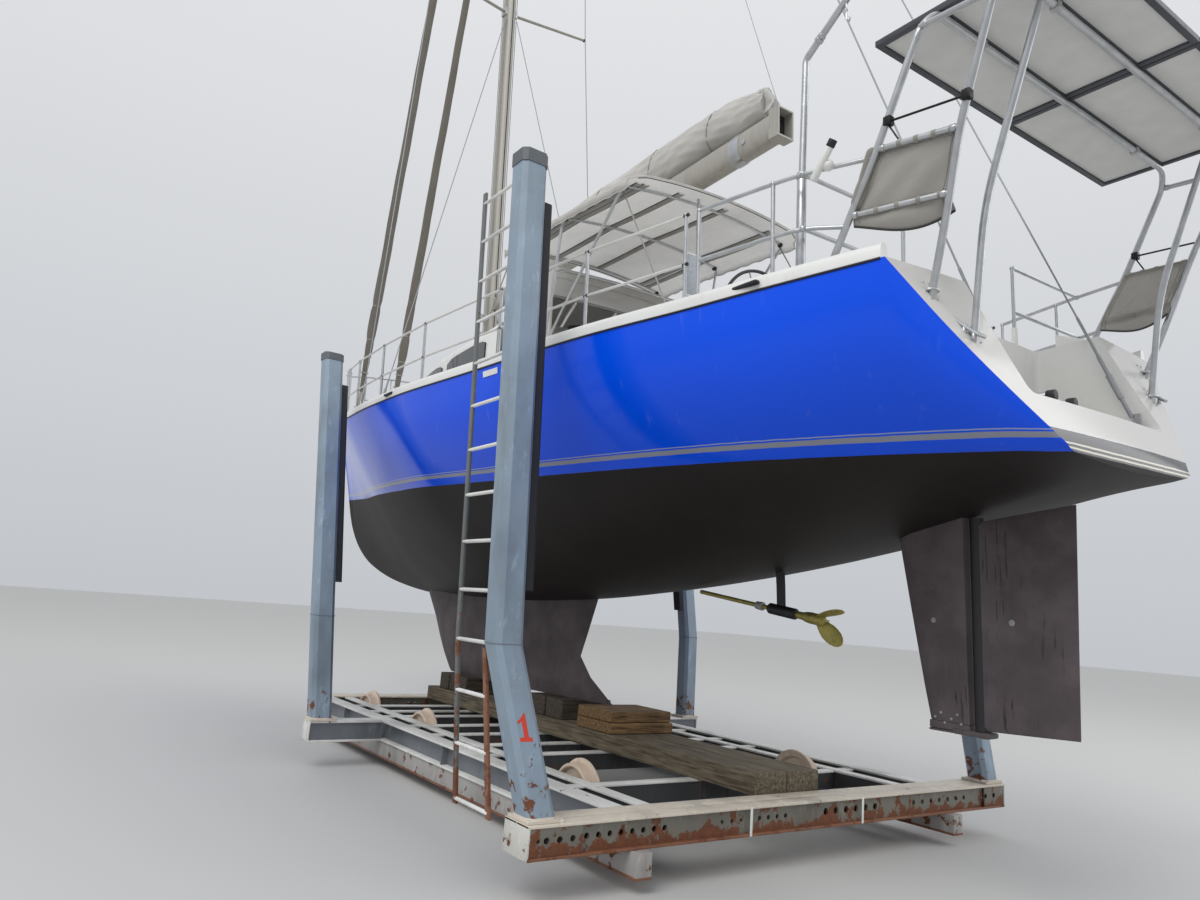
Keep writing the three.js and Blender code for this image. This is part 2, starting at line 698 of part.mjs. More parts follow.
// Height of the cover's top, which is flat between its rows and its nine points across
function biminiTop(x, share) {
  const row = Math.max(1, biminiRows.findIndex(([at]) => at >= x));
  const [a, b] = [biminiRows[row - 1], biminiRows[row]];
  const crown = a[1] + ((b[1] - a[1]) * (x - a[0])) / (b[0] - a[0]);
  const step = Math.min(3, Math.floor(Math.abs(share) * 4));
  const fall = (step ** 2 + (2 * step + 1) * (Math.abs(share) * 4 - step)) / 16;
  return crown - biminiDrop * fall;
}

const ninths = [-1, -0.75, -0.5, -0.25, 0, 0.25, 0.5, 0.75, 1];
function biminiRing([x]) {
  const over = ninths.map((t) => v(x, biminiHalf * t, biminiTop(x, t)));
  const under = over.map((point) => v(x, point.y, point.z - biminiThick)).reverse();
  return [...over, ...under];
}
add(yacht, 'bimini_canopy', loft(biminiRows.map(biminiRing)), 'canvas');

const bowTube = 14;
const biminiFoot = v(2450, 975, 0);
function biminiBow(x) {
  const reach = 0.95;
  const path = ninths.map((t) => v(x, reach * biminiHalf * t,
    biminiTop(x, reach * t) - biminiThick - bowTube - gap));
  const low = (side) => v(biminiFoot.x, side * biminiFoot.y, coamingTop(biminiFoot.x) + 15);
  return pipe([low(-1), ...path, low(1)], bowTube, 8);
}
const biminiFeet = [1, -1].map((side) => upright(biminiFoot.x, side * biminiFoot.y,
  coamingTop(biminiFoot.x) - 60, coamingTop(biminiFoot.x) + 50, 34));
const biminiFrame = join(...biminiFeet, ...[1290, 2220, 3190].map(biminiBow));
add(yacht, 'bimini_frame', onCoamings(biminiFrame), 'steel');

// Spray hood over the companionway
const hoodOutline = [[2420, 4380], [3500, 4380], [3000, 4790], [2460, 4860], [2400, 4820]];
const hood = sideways(hoodOutline, -930, 930).subtract(sideways([[2300, 3900], [2990, 3900], [2990, 4480],
  [2300, 4480]], -900, 900));
add(yacht, 'spray_hood', hood.subtract(house.translate([0, 0, gap])), 'canvas');

// Small lifting crane on the port quarter
const craneFoot = v(-1085, 1440, 0);
craneFoot.z = deckZ(craneFoot.x, craneFoot.y) - sunk;
const cranePole = pipe([craneFoot, v(-1098, 1440, 4195)], 27, 10);
const craneJib = pipe([v(-1096, 1440, 4100), v(-1127, 1440, 4899), v(-1450, 1440, 5140)], 20, 10);
add(yacht, 'lifting_crane', onDeck(join(cranePole, craneJib)), 'steel');

// Steering pedestal with its wheel
const wheelHub = v(620, 0, 4040);
const rim = new THREE.TorusGeometry(430, 14, 8, 28);
rim.rotateY(Math.PI / 2);
rim.translate(...wheelHub.toArray());
const pedestal = box(670, 830, -90, 90, cockpit.floor + gap, 4130);
const hubPin = pipe([wheelHub.clone(), v(680, 0, wheelHub.z)], 30, 10);
const spokes = [0, 1, 2].map((i) => {
  const angle = (Math.PI * i) / 3 + 0.2;
  const end = v(0, 430 * Math.cos(angle), 430 * Math.sin(angle));
  return pipe([wheelHub.clone().sub(end), wheelHub.clone().add(end)], 8, 6);
});
add(yacht, 'steering', join(solid(rim), pedestal, hubPin, ...spokes), 'steel');

// Winches, hatches and mooring gear
for (const [side, hand] of [[1, 'port'], [-1, 'starboard']]) {
  const base = coamingTop(winchX) - 60;
  const winch = join(upright(winchX, side * 900, base, base + 160, 95, 62),
    upright(winchX, side * 900, base + 160, base + 240, 60, 80));
  add(yacht, 'winch_' + hand, onCoamings(winch), 'steel');
}
const foreHatch = box(6000, 6500, -270, 270, 4100, 4330).subtract(house.translate([0, 0, gap]));
add(yacht, 'fore_hatch', foreHatch, 'black');
const roller = join(box(10550, 11300, -55, 55, 4640 + gap, 4672), box(11180, 11320, -55, 55, 4600, 4644));
add(yacht, 'bow_roller', roller.subtract(hullCutter), 'steel');

// Cradle

const beamFoot = beamTop - beamDepth;

// Two channels side by side under one top plate, closed at both ends
function crossBeam(x0, x1, half) {
  const low = beamFoot + 18;
  const high = beamTop - 17;
  return join(
    box(x0, x1, -half, half, beamTop - 18, beamTop),
    box(x0, x0 + 110, -half, half, beamFoot, low),
    box(x1 - 110, x1, -half, half, beamFoot, low),
    box(x0 + 30, x0 + 46, -half, half, low - 1, high),
    box(x1 - 46, x1 - 30, -half, half, low - 1, high),
    box(x0, x1, half - 14, half, beamFoot, beamTop),
    box(x0, x1, -half, 14 - half, beamFoot, beamTop),
  );
}

// I beam lying along X
function longBeam(y0, y1, x0, x1, z0, z1, web = 16, flange = 18) {
  const middle = (y0 + y1) / 2;
  return join(
    box(x0, x1, y0, y1, z0, z0 + flange),
    box(x0, x1, y0, y1, z1 - flange, z1),
    box(x0, x1, middle - web / 2, middle + web / 2, z0 + flange - 1, z1 - flange + 1),
  );
}

const sides = [[1, 'port'], [-1, 'starboard']];
// Box between two distances from the centre line, on one side of it
const sideBox = (side, x0, x1, y0, y1, z0, z1) => box(x0, x1, Math.min(side * y0, side * y1),
  Math.max(side * y0, side * y1), z0, z1);

// Middle of the foot, the knee and the top of the port posts
const postRows = {
  aft: [v(135, 2245, beamTop + 20), v(400, 2400, kneeZ), v(550, 2460, 4600)],
  fore: [v(4005, 2245, beamTop + 20), v(4100, 2310, kneeZ), v(4680, 2380, 4060)],
};
const forward = frameFore - beamWidth;
add(cradle, 'aft_beam', crossBeam(frameAft, frameAft + beamWidth, beamHalf), 'rusty');
add(cradle, 'fore_beam', crossBeam(forward, frameFore, sillY + sillWidth), 'cradle');

// Sills, each with an arm that carries the fore post
for (const [side, hand] of sides) {
  const y = [side * sillY, side * (sillY + sillWidth)].sort((a, b) => a - b);
  const foot = postRows.fore[0].x;
  const sill = longBeam(y[0], y[1], frameAft + beamWidth + gap, forward - gap, beamFoot, beamTop);
  const arm = sideBox(side, foot - 100, foot + 100, sillY + sillWidth / 2, beamHalf, beamFoot, beamTop);
  add(cradle, 'sill_' + hand, join(sill, arm), 'cradle');
}

// Grid between the sills: long members beside the wheels and cross members between them
const gridTop = beamTop - 12;
const crossTop = gridTop - 4;
const innerY = [1255, 1365];
const crossX = [900, 2090, 2560, 3130, 3660, 4290, 4670, 5110];
const gridBars = sides.map(([side]) => sideBox(side, frameAft + beamWidth + gap, forward - gap, ...innerY,
  beamFoot, gridTop));
for (const x of crossX) {
  gridBars.push(box(x, x + 95, gap - sillY, sillY - gap, beamFoot + 20, crossTop));
}
const axleZ = wheelRadius;
for (const x of wheelX) {
  for (const [side] of sides) {
    gridBars.push(sideBox(side, x - 70, x + 70, innerY[0] + 20, innerY[1] - 20, axleZ - 110, beamFoot + 10));
  }
}
let grid = join(...gridBars);
for (const x of wheelX) {
  grid = grid.subtract(pipe([v(x, -1800, axleZ), v(x, 1800, axleZ)], axleRadius + 0.7, 24));
}
add(cradle, 'frame_grid', grid, 'cradle');

// Flanged wheels, each pair on one axle
wheelX.forEach((x, i) => {
  const pair = [drum(x, 0, axleZ, axleRadius, 2 * innerY[1] + 30, 24)];
  for (const side of [1, -1]) {
    const y = side * wheelY;
    pair.push(drum(x, y, axleZ, wheelRadius - 30, wheelWidth));
    pair.push(drum(x, y - side * (wheelWidth / 2 - 12), axleZ, wheelRadius, 24));
  }
  add(cradle, `wheelset_${i + 1}`, join(...pair), 'wheel');
});

// Runner beams under the sills
for (const [side, hand] of sides) {
  add(cradle, 'runner_' + hand, sideBox(side, -60, frameFore + 60, sillY + 12, sillY + sillWidth - 12,
    runnerFoot, beamFoot - gap), 'rusty');
}

// Posts: a foot that leans out to the knee, then an upright with cut corners
function postRing(x, y, z, half) {
  const cut = half * 0.3;
  return [
    v(x - half, y - half + cut, z), v(x - half + cut, y - half, z), v(x + half - cut, y - half, z),
    v(x + half, y - half + cut, z), v(x + half, y + half - cut, z), v(x + half - cut, y + half, z),
    v(x - half + cut, y + half, z), v(x - half, y + half - cut, z),
  ];
}

const posts = {};
for (const [place, rows] of Object.entries(postRows)) {
  for (const [side, hand] of sides) {
    const post = loft(rows.map(({ x, y, z }) => postRing(x, side * y, z, postSize / 2)));
    const foot = rows[0];
    const plate = sideBox(side, foot.x - 115, foot.x + 115, foot.y - 130, foot.y + 112, beamTop + gap,
      beamTop + 22);
    add(cradle, `post_${hand}_${place}`, join(post, plate), 'cradle');
    posts[hand + '_' + place] = post;
    add(cradle, `pad_${hand}_${place}`, padBody(rows, side), 'pad');
  }
}

// Strip on the inner face of a post, between two heights
function padBody([, knee, top], side) {
  return loft([kneeZ + 320, top.z - 330].map((z) => {
    const middle = knee.clone().lerp(top, (z - kneeZ) / (top.z - kneeZ));
    const face = middle.y - postSize / 2 - gap;
    return [v(middle.x - 60, side * face, z), v(middle.x + 60, side * face, z),
      v(middle.x + 60, side * (face - 70), z), v(middle.x - 60, side * (face - 70), z)];
  }));
}

// Ladder on the fore side of the port aft post
const rungCount = 14;
const rungPitch = 311;
const firstRung = 430;
const ladderY = 2460;
const outerStile = [v(700, ladderY, 400), v(890, ladderY, kneeZ), v(1185, ladderY, 4560)];
const innerStile = [v(280, ladderY, 400), v(512, ladderY, kneeZ - 40)];
const lineAt = (line, z) => {
  const i = z > line[1].z && line.length > 2 ? 1 : 0;
  return line[i].clone().lerp(line[i + 1], (z - line[i].z) / (line[i + 1].z - line[i].z));
};
const rungs = [];
for (let i = 0; i < rungCount; i += 1) {
  const z = firstRung + rungPitch * i;
  const inner = z < kneeZ - 60 ? lineAt(innerStile, z)
    : v(lineAt(postRows.aft.slice(1), z).x + 40, ladderY, z);
  rungs.push(pipe([inner, lineAt(outerStile, z)], 12, 6));
}
const ladder = join(pipe(outerStile, 20, 6), pipe(innerStile, 20, 6), ...rungs);
add(cradle, 'ladder', ladder.subtract(posts.port_aft.translate([gap, 0, 0])), 'cradle');

// Timbers and blocks under the keel
const timberTop = 558;
const timberFoot = crossTop + gap;
add(cradle, 'keel_timber_port', box(300, forward - gap, 3, 340, timberFoot, timberTop), 'timber');
add(cradle, 'keel_timber_starboard', box(300, forward - gap, -340, -3, timberFoot, timberTop), 'timber');
const slope = Math.tan(heel);
function keelBlock(x0, x1, half) {
  const top = (y) => keelBottom - gap - slope * y;
  return lengthways([[-half, timberTop + gap], [half, timberTop + gap], [half, top(half)],
    [-half, top(-half)]], x0, x1);
}
add(cradle, 'keel_block_aft', keelBlock(2010, 2560, 350), 'block');
add(cradle, 'keel_block_middle', keelBlock(2900, 3500, 300), 'block');
add(cradle, 'keel_block_fore', keelBlock(4900, 5600, 300), 'block');

// The yacht leans to port about the foot of its keel
const pivot = new THREE.Group();
pivot.position.set(0, 0, keelBottom);
pivot.rotation.x = -heel;
yacht.position.set(0, 0, -keelBottom);
pivot.add(yacht);

const part = new THREE.Group();
part.add(pivot, cradle);
part.updateMatrixWorld(true);
const bounds = new THREE.Box3().setFromObject(part, true);
part.position.set(-(bounds.min.x + bounds.max.x) / 2, -(bounds.min.y + bounds.max.y) / 2, -bounds.min.z);
part.updateMatrixWorld(true);

export default part;
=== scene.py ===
"""A cruising sailing yacht on its slipway cradle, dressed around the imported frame."""
import json
from math import atan2, copysign, cos, exp, pi, radians, sin, sqrt, tau

import bmesh
import bpy
from bpy.props import FloatProperty, FloatVectorProperty, IntProperty, PointerProperty
from mathutils import Matrix, Vector


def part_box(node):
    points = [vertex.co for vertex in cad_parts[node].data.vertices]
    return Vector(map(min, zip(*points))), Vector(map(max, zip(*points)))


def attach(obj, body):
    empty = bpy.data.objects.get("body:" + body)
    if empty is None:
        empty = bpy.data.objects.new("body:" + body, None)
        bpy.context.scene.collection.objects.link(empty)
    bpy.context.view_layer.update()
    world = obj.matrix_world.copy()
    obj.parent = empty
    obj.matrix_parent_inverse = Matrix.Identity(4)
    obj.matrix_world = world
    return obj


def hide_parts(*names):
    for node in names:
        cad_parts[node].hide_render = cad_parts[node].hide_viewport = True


bl_info = {
    # what the add-on is called, where it is found and what it needs
    "name": "Sailing Yacht on a Slipway Cradle",
    "version": (1, 0, 0),
    "blender": (4, 5, 0),
    "location": "View3D > Sidebar > Yacht",
    "description": "Builds a blue cruising yacht that stands on a steel slipway cradle",
    "category": "Add Mesh",
}

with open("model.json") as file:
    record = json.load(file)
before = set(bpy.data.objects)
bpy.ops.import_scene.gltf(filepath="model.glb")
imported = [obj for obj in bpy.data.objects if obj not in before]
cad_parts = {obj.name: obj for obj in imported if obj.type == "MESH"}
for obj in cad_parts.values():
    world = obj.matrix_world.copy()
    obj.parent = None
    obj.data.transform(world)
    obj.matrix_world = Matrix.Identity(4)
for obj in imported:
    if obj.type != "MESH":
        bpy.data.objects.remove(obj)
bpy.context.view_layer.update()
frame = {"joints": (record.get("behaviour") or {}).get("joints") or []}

# Places that come from the frame. The cradle is measured from the aft face of its aft
# beam, and the yacht leans to port about the foot of its keel.
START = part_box("aft_beam")[0].x
RUDDER_AXIS = next(j["axis"] for j in frame["joints"] if j["name"] == "rudder_turn")
HEEL = atan2(RUDDER_AXIS[1], RUDDER_AXIS[2])
FOOT = 0.745
SHIP = (Matrix.Translation((START, 0, FOOT)) @ Matrix.Rotation(-HEEL, 4, "X")
    @ Matrix.Translation((0, 0, -FOOT)))
SLIP = Matrix.Translation((START, 0, 0))
ROOT = "yacht_on_cradle"
SIDES = ((1, "port"), (-1, "starboard"))


def srgb(red, green, blue):
    """Linear colour from the three screen values, 0 to 255."""
    return tuple(((c / 255 + 0.055) / 1.055) ** 2.4 if c > 10 else c / 255 / 12.92
        for c in (red, green, blue))


# Mesh helpers. Those that take a bmesh and a form add the form and give back its new vertices.

def rim_of(at, across, along):
    """Points round the edge of a surface."""
    return ([at(i / across, 0) for i in range(across + 1)]
        + [at(1, i / along) for i in range(1, along + 1)]
        + [at(1 - i / across, 1) for i in range(1, across + 1)]
        + [at(0, 1 - i / along) for i in range(1, along)])


def y_span(side, inner, outer):
    """Lower and upper Y of what lies between two distances on one side."""
    return sorted((side * inner, side * outer))


def up_by(height):
    """Straight up by a height."""
    return Vector((0, 0, height))


def edges_among(verts):
    """Edges whose two ends are both in the set."""
    inside = set(verts)
    return list({e for v in inside for e in v.link_edges if e.other_vert(v) in inside})


def faces_among(verts):
    """Faces whose corners are all in the set."""
    inside = set(verts)
    return list({f for v in inside for f in v.link_faces if all(c in inside for c in f.verts)})


def paint(verts, index):
    """Gives the faces among the vertices one material slot."""
    for face in faces_among(verts):
        face.material_index = index
    return verts


def rounded_off(bm, verts, edges, width, segments=2):
    """Rounds some edges and gives back the vertices that the form then has."""
    if width <= 0:
        return verts
    made = bmesh.ops.bevel(bm, geom=edges, offset=width, offset_type="OFFSET",
        affect="EDGES", segments=segments, profile=0.5, material=-1)
    return list({v for f in made["faces"] for v in f.verts} | {v for v in verts if v.is_valid})


def block(bm, low, high, edge=0.0, segments=2):
    """Box between two corners, its edges rounded."""
    low, high = Vector(low), Vector(high)
    place = Matrix.Translation((low + high) / 2) @ Matrix.Diagonal((*(high - low), 1))
    verts = bmesh.ops.create_cube(bm, size=1, matrix=place)["verts"]
    return rounded_off(bm, verts, edges_among(verts), edge, segments)


def drum(bm, start, end, radius, top=None, sides=24, edge=0.0):
    """Round bar from one point to another, its rims rounded."""
    start, end = Vector(start), Vector(end)
    way = end - start
    place = Matrix.Translation((start + end) / 2) @ way.to_track_quat("Z", "Y").to_matrix().to_4x4()
    verts = bmesh.ops.create_cone(bm, cap_ends=True, segments=sides, radius1=radius,
        radius2=radius if top is None else top, depth=way.length, matrix=place)["verts"]
    rims = [e for e in edges_among(verts) if any(len(f.verts) == sides for f in e.link_faces)]
    return rounded_off(bm, verts, rims, edge)


def ball(bm, middle, radius, scale=(1, 1, 1), rows=10):
    """Round or squashed ball."""
    place = Matrix.Translation(middle) @ Matrix.Diagonal((*scale, 1))
    return bmesh.ops.create_uvsphere(bm, u_segments=rows * 2, v_segments=rows, radius=radius,
        matrix=place)["verts"]


def rounded(points, bend, steps=5):
    """The same line with its corners rounded off."""
    points = [Vector(p) for p in points]
    line = [points[0]]
    for before, corner, after in zip(points, points[1:], points[2:]):
        reach = min(bend, (before - corner).length * 0.48, (after - corner).length * 0.48)
        start = corner + (before - corner).normalized() * reach
        end = corner + (after - corner).normalized() * reach
        for i in range(steps + 1):
            t = i / steps
            line.append(start * (1 - t) ** 2 + corner * 2 * t * (1 - t) + end * t ** 2)
    line.append(points[-1])
    return line


def tube(bm, points, radius, sides=10, bend=0.0, capped=True):
    """Round bar along a line: a ring is extruded from point to point and mitred at each."""
    path = rounded(points, bend) if bend else [Vector(p) for p in points]
    path = [p for i, p in enumerate(path) if i == 0 or (p - path[i - 1]).length > 1e-6]
    way = (path[1] - path[0]).normalized()
    place = Matrix.Translation(path[0]) @ way.to_track_quat("Z", "Y").to_matrix().to_4x4()
    ring = bmesh.ops.create_circle(bm, cap_ends=False, segments=sides, radius=radius,
        matrix=place)["verts"]
    every = list(ring)
    edges = edges_among(ring)
    first = list(edges)
    for i in range(1, len(path)):
        into = (path[i] - path[i - 1]).normalized()
        out = (path[i + 1] - path[i]).normalized() if i + 1 < len(path) else into
        made = bmesh.ops.extrude_edge_only(bm, edges=edges)["geom"]
        ring = [g for g in made if isinstance(g, bmesh.types.BMVert)]
        edges = edges_among(ring)
        plane = (into + out).normalized()
        for v in ring:
            v.co += into * ((path[i] - v.co).dot(plane) / into.dot(plane))
        every += ring
    if capped:
        bmesh.ops.contextual_create(bm, geom=first)
        bmesh.ops.contextual_create(bm, geom=edges)
    return every


def ring_of(bm, points):
    """Loop of new vertices and edges through the points."""
    verts = [bm.verts.new(p) for p in points]
    return verts, [bm.edges.new(pair) for pair in zip(verts, verts[1:] + verts[:1])]


def skin(bm, rings):
    """Surface bridged over rings of like points, closed at both ends."""
    verts, edges = ring_of(bm, rings[0])
    first, every = edges, list(verts)
    for ring in rings[1:]:
        more, following = ring_of(bm, ring)
        bmesh.ops.bridge_loops(bm, edges=edges + following)
        edges = following
        every += more
    bmesh.ops.contextual_create(bm, geom=first)
    bmesh.ops.contextual_create(bm, geom=edges)
    return every


def plate(bm, outline, way, edge=0.0):
    """Flat outline drawn out along a way, its edges rounded."""
    verts, edges = ring_of(bm, outline)
    face = bmesh.ops.contextual_create(bm, geom=edges)["faces"][0]
    made = bmesh.ops.extrude_face_region(bm, geom=[face])["geom"]
    far = [g for g in made if isinstance(g, bmesh.types.BMVert)]
    bmesh.ops.translate(bm, vec=way, verts=far)
    return rounded_off(bm, verts + far, edges_among(verts + far), edge)


def spun(bm, profile, start, way, steps=24):
    """Profile of (radius, distance) pairs spun round a way from a start."""
    known = set(bm.verts)
    turn = Vector(way).to_track_quat("Z", "Y").to_matrix()
    verts = [bm.verts.new(turn @ Vector((max(r, 1e-6), 0, d)) + Vector(start)) for r, d in profile]
    edges = [bm.edges.new(pair) for pair in zip(verts, verts[1:])]
    bmesh.ops.spin(bm, geom=verts + edges, cent=start, axis=way, angle=tau, steps=steps,
        use_merge=True)
    return [v for v in bm.verts if v not in known]


def carve(thing, bm, place=SHIP):
    """Cuts the forms of a bmesh out of a piece."""
    bmesh.ops.remove_doubles(bm, verts=bm.verts, dist=1e-5)
    bmesh.ops.recalc_face_normals(bm, faces=bm.faces)
    bmesh.ops.transform(bm, matrix=place, verts=bm.verts)
    mesh = bpy.data.meshes.new("cut")
    bm.to_mesh(mesh)
    bm.free()
    for look in thing.data.materials:
        mesh.materials.append(look)
    cutter = bpy.data.objects.new("cut", mesh)
    bpy.context.scene.collection.objects.link(cutter)
    cut = thing.modifiers.new("cut", "BOOLEAN")
    cut.operation = "DIFFERENCE"
    cut.solver = "EXACT"
    cut.object = cutter
    bpy.context.view_layer.update()
    evaluated = thing.evaluated_get(bpy.context.evaluated_depsgraph_get())
    thing.data = bpy.data.meshes.new_from_object(evaluated)
    thing.modifiers.clear()
    bpy.data.objects.remove(cutter)


def surface(bm, along, across, at):
    """Grid laid over a curved surface: at gives the point for two shares from 0 to 1."""
    verts = bmesh.ops.create_grid(bm, x_segments=along, y_segments=across, size=1)["verts"]
    for v in verts:
        v.co = at((v.co.x + 1) / 2, (v.co.y + 1) / 2)
    return verts


def thicken(bm, verts, depth):
    """Gives an open surface a thickness."""
    bmesh.ops.recalc_face_normals(bm, faces=faces_among(verts))
    made = bmesh.ops.solidify(bm, geom=faces_among(verts), thickness=depth)["geom"]
    return list({g for g in made if isinstance(g, bmesh.types.BMVert)} | set(verts))


def bolt(bm, place, way, radius=0.008, height=0.006):
    """Low round head on a surface."""
    place, way = Vector(place), Vector(way).normalized()
    return spun(bm, [(0, height), (radius * 0.6, height * 0.94), (radius * 0.95, height * 0.5),
        (radius, -0.002)], place, way, 10)


def between(a, b, t):
    """Point part of the way from a to b."""
    return Vector(a).lerp(Vector(b), t)


def thick_cloth(thing, thickness, side):
    """Gives a finished sheet its thickness, outward, inward or both ways for 1, -1 or 0."""
    cloth = thing.modifiers.new("cloth", "SOLIDIFY")
    cloth.thickness = thickness
    cloth.offset = side


# Looks of the first material of a piece that go with each slot, and the sharpest edge, in
# degrees, that still shades smoothly, for the slots where it isn't 35.
SLOTS = {
    # slot and the looks that go with it
    "stainless": "stainless wire",
    "deck_paint": "gelcoat white",
    "canvas": "canvas cover rope hood",
    "black": "black_metal",
    "worn_steel": "web cream runner",
    "cradle_paint": "light number ladder post",
    "dark_panel": "window frame pane",
    "timber": "teak timber",
    "timber_block": "block",
    "antifoul": "bottom dark",
    "sail_cover": "sail",
    "bronze": "bronze",
    "alloy": "alloy",
    "pad_rubber": "pad",
    "hull_paint": "topsides",
    "wheel_iron": "wheel",
}
SOFT_EDGES = {"stainless": 40, "canvas": 60, "black": 40, "alloy": 40, "sail_cover": 60,
    "antifoul": 30}
USUAL_SOFT_EDGE = 35
LOOKS = {}


def piece(name, bm, looks, place=SHIP, body=ROOT, slot=None, replaces="", smooth=None,
        bevel=0.0, closed=True):
    """Turns a bmesh into a finished object that rides on a body."""
    names = looks.split()
    replaces = replaces.split()
    slot = slot or next(key for key, looks in SLOTS.items() if names[0] in looks.split())
    limit = radians(smooth or SOFT_EDGES.get(slot, USUAL_SOFT_EDGE))
    bmesh.ops.remove_doubles(bm, verts=bm.verts, dist=1e-5)
    if closed:
        bmesh.ops.recalc_face_normals(bm, faces=bm.faces)
    bmesh.ops.transform(bm, matrix=place, verts=bm.verts)
    for edge in bm.edges:
        borders = len({face.material_index for face in edge.link_faces}) > 1
        edge.smooth = len(edge.link_faces) != 2 or not borders and edge.calc_face_angle(0) < limit
    for face in bm.faces:
        face.smooth = True
    mesh = bpy.data.meshes.new(name)
    bm.to_mesh(mesh)
    bm.free()
    if not mesh.polygons:
        raise RuntimeError(f"{name} came out empty")
    thing = bpy.data.objects.new(name, mesh)
    bpy.context.scene.collection.objects.link(thing)
    for look in names:
        mesh.materials.append(LOOKS[look])
    if bevel:
        rounding = thing.modifiers.new("edges", "BEVEL")
        rounding.width = bevel
        rounding.segments = 2
        rounding.limit_method = "ANGLE"
        rounding.angle_limit = radians(40)
        rounding.harden_normals = False
    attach(thing, body)
    if replaces:
        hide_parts(*replaces)
    return thing


# Material helpers

class Look:
    """Node tree of one material, with short calls for the nodes that repeat."""

    def __init__(self, name, turn=0.0):
        self.material = bpy.data.materials.new(name)
        self.material.use_nodes = True
        self.tree = self.material.node_tree
        self.shader = self.tree.nodes["Principled BSDF"]
        source = self.tree.nodes.new("ShaderNodeTexCoord")
        self.uv = source.outputs["UV"]
        turned = self.node("Mapping", Rotation=(turn, 0, 0), Vector=source.outputs["Object"])
        self.place = turned.outputs["Vector"]

    def link(self, source, target):
        """Feeds a socket from another, or with a number, a place or a colour."""
        if isinstance(source, (int, float)):
            target.default_value = source
        elif isinstance(source, tuple):
            target.default_value = (*source[:3], 1) if len(target.default_value) == 4 else source
        else:
            self.tree.links.new(source, target)

    def node(self, kind, **sockets):
        """New node, its sockets fed by their names."""
        node = self.tree.nodes.new("ShaderNode" + kind)
        for socket, source in sockets.items():
            self.link(source, node.inputs[socket.replace("_", " ")])
        return node

    def noise(self, scale, detail=4, rough=0.55, stretch=None, twist=0.0):
        """Cloudy pattern from 0 to 1, drawn out one way where a stretch is given."""
        place = self.place
        if stretch:
            place = self.node("Mapping", Scale=stretch, Vector=place).outputs["Vector"]
        return self.node("TexNoise", Scale=scale, Detail=detail, Roughness=rough,
            Distortion=twist, Vector=place).outputs["Fac"]

    def wave(self, scale, direction, twist):
        """Bands along one way."""
        node = self.node("TexWave", Scale=scale, Distortion=twist, Vector=self.place)
        node.bands_direction = direction
        return node.outputs["Fac"]

    def step(self, source, low, high):
        """0 below low, 1 above high."""
        node = self.node("MapRange", Value=source, From_Min=low, From_Max=high)
        node.interpolation_type = "SMOOTHSTEP"
        return node.outputs["Result"]

    def maths(self, operation, first, second):
        """Sum, product or difference of two values."""
        node = self.tree.nodes.new("ShaderNodeMath")
        node.operation = operation
        self.link(first, node.inputs[0])
        self.link(second, node.inputs[1])
        return node.outputs[0]

    def times(self, first, second):
        return self.maths("MULTIPLY", first, second)

    def plus(self, first, second):
        return self.maths("ADD", first, second)

    def rest(self, share):
        """What a share leaves of 1."""
        return self.maths("SUBTRACT", 1.0, share)

    def part_of(self, place, number):
        """One of the three parts of a place."""
        return self.node("SeparateXYZ", Vector=place).outputs[number]

    def band(self, value, low, high, soft):
        """1 between two values, with soft ends."""
        return self.times(self.step(value, low - soft, low + soft),
            self.rest(self.step(value, high - soft, high + soft)))

    def mix(self, share, first, second):
        """Colour part of the way from one to another."""
        node = self.tree.nodes.new("ShaderNodeMix")
        node.data_type = "RGBA"
        for socket, source in (("Factor", share), (6, first), (7, second)):
            self.link(source, node.inputs[socket])
        return node.outputs[2]

    def stained(self, base, pattern, low, high, share, colour):
        """Base colour with a share of another where a pattern is high."""
        return self.mix(self.times(self.step(pattern, low, high), share), base, colour)

    def bump(self, height, strength, distance, over=None):
        """Relief of a height, on top of another relief."""
        node = self.node("Bump", Strength=strength, Distance=distance, Height=height)
        if over is not None:
            self.link(over, node.inputs["Normal"])
        return node.outputs["Normal"]

    def done(self, colour, rough, metal=0.0, normal=None, **sockets):
        """Feeds the shader and gives back the material."""
        sockets.update(Base_Color=colour, Roughness=rough, Metallic=metal)
        if normal is not None:
            sockets["Normal"] = normal
        for socket, source in sockets.items():
            self.link(source, self.shader.inputs[socket.replace("_", " ")])
        return self.material


def shade(colour, share):
    """Colour given in 0 to 255, made darker or lighter by a share."""
    return srgb(*[min(255, c * share) for c in colour])


def lit(colour, share):
    """Linear colour made darker or lighter by a share."""
    return tuple(min(1, c * share) for c in colour)


# Materials of the yacht

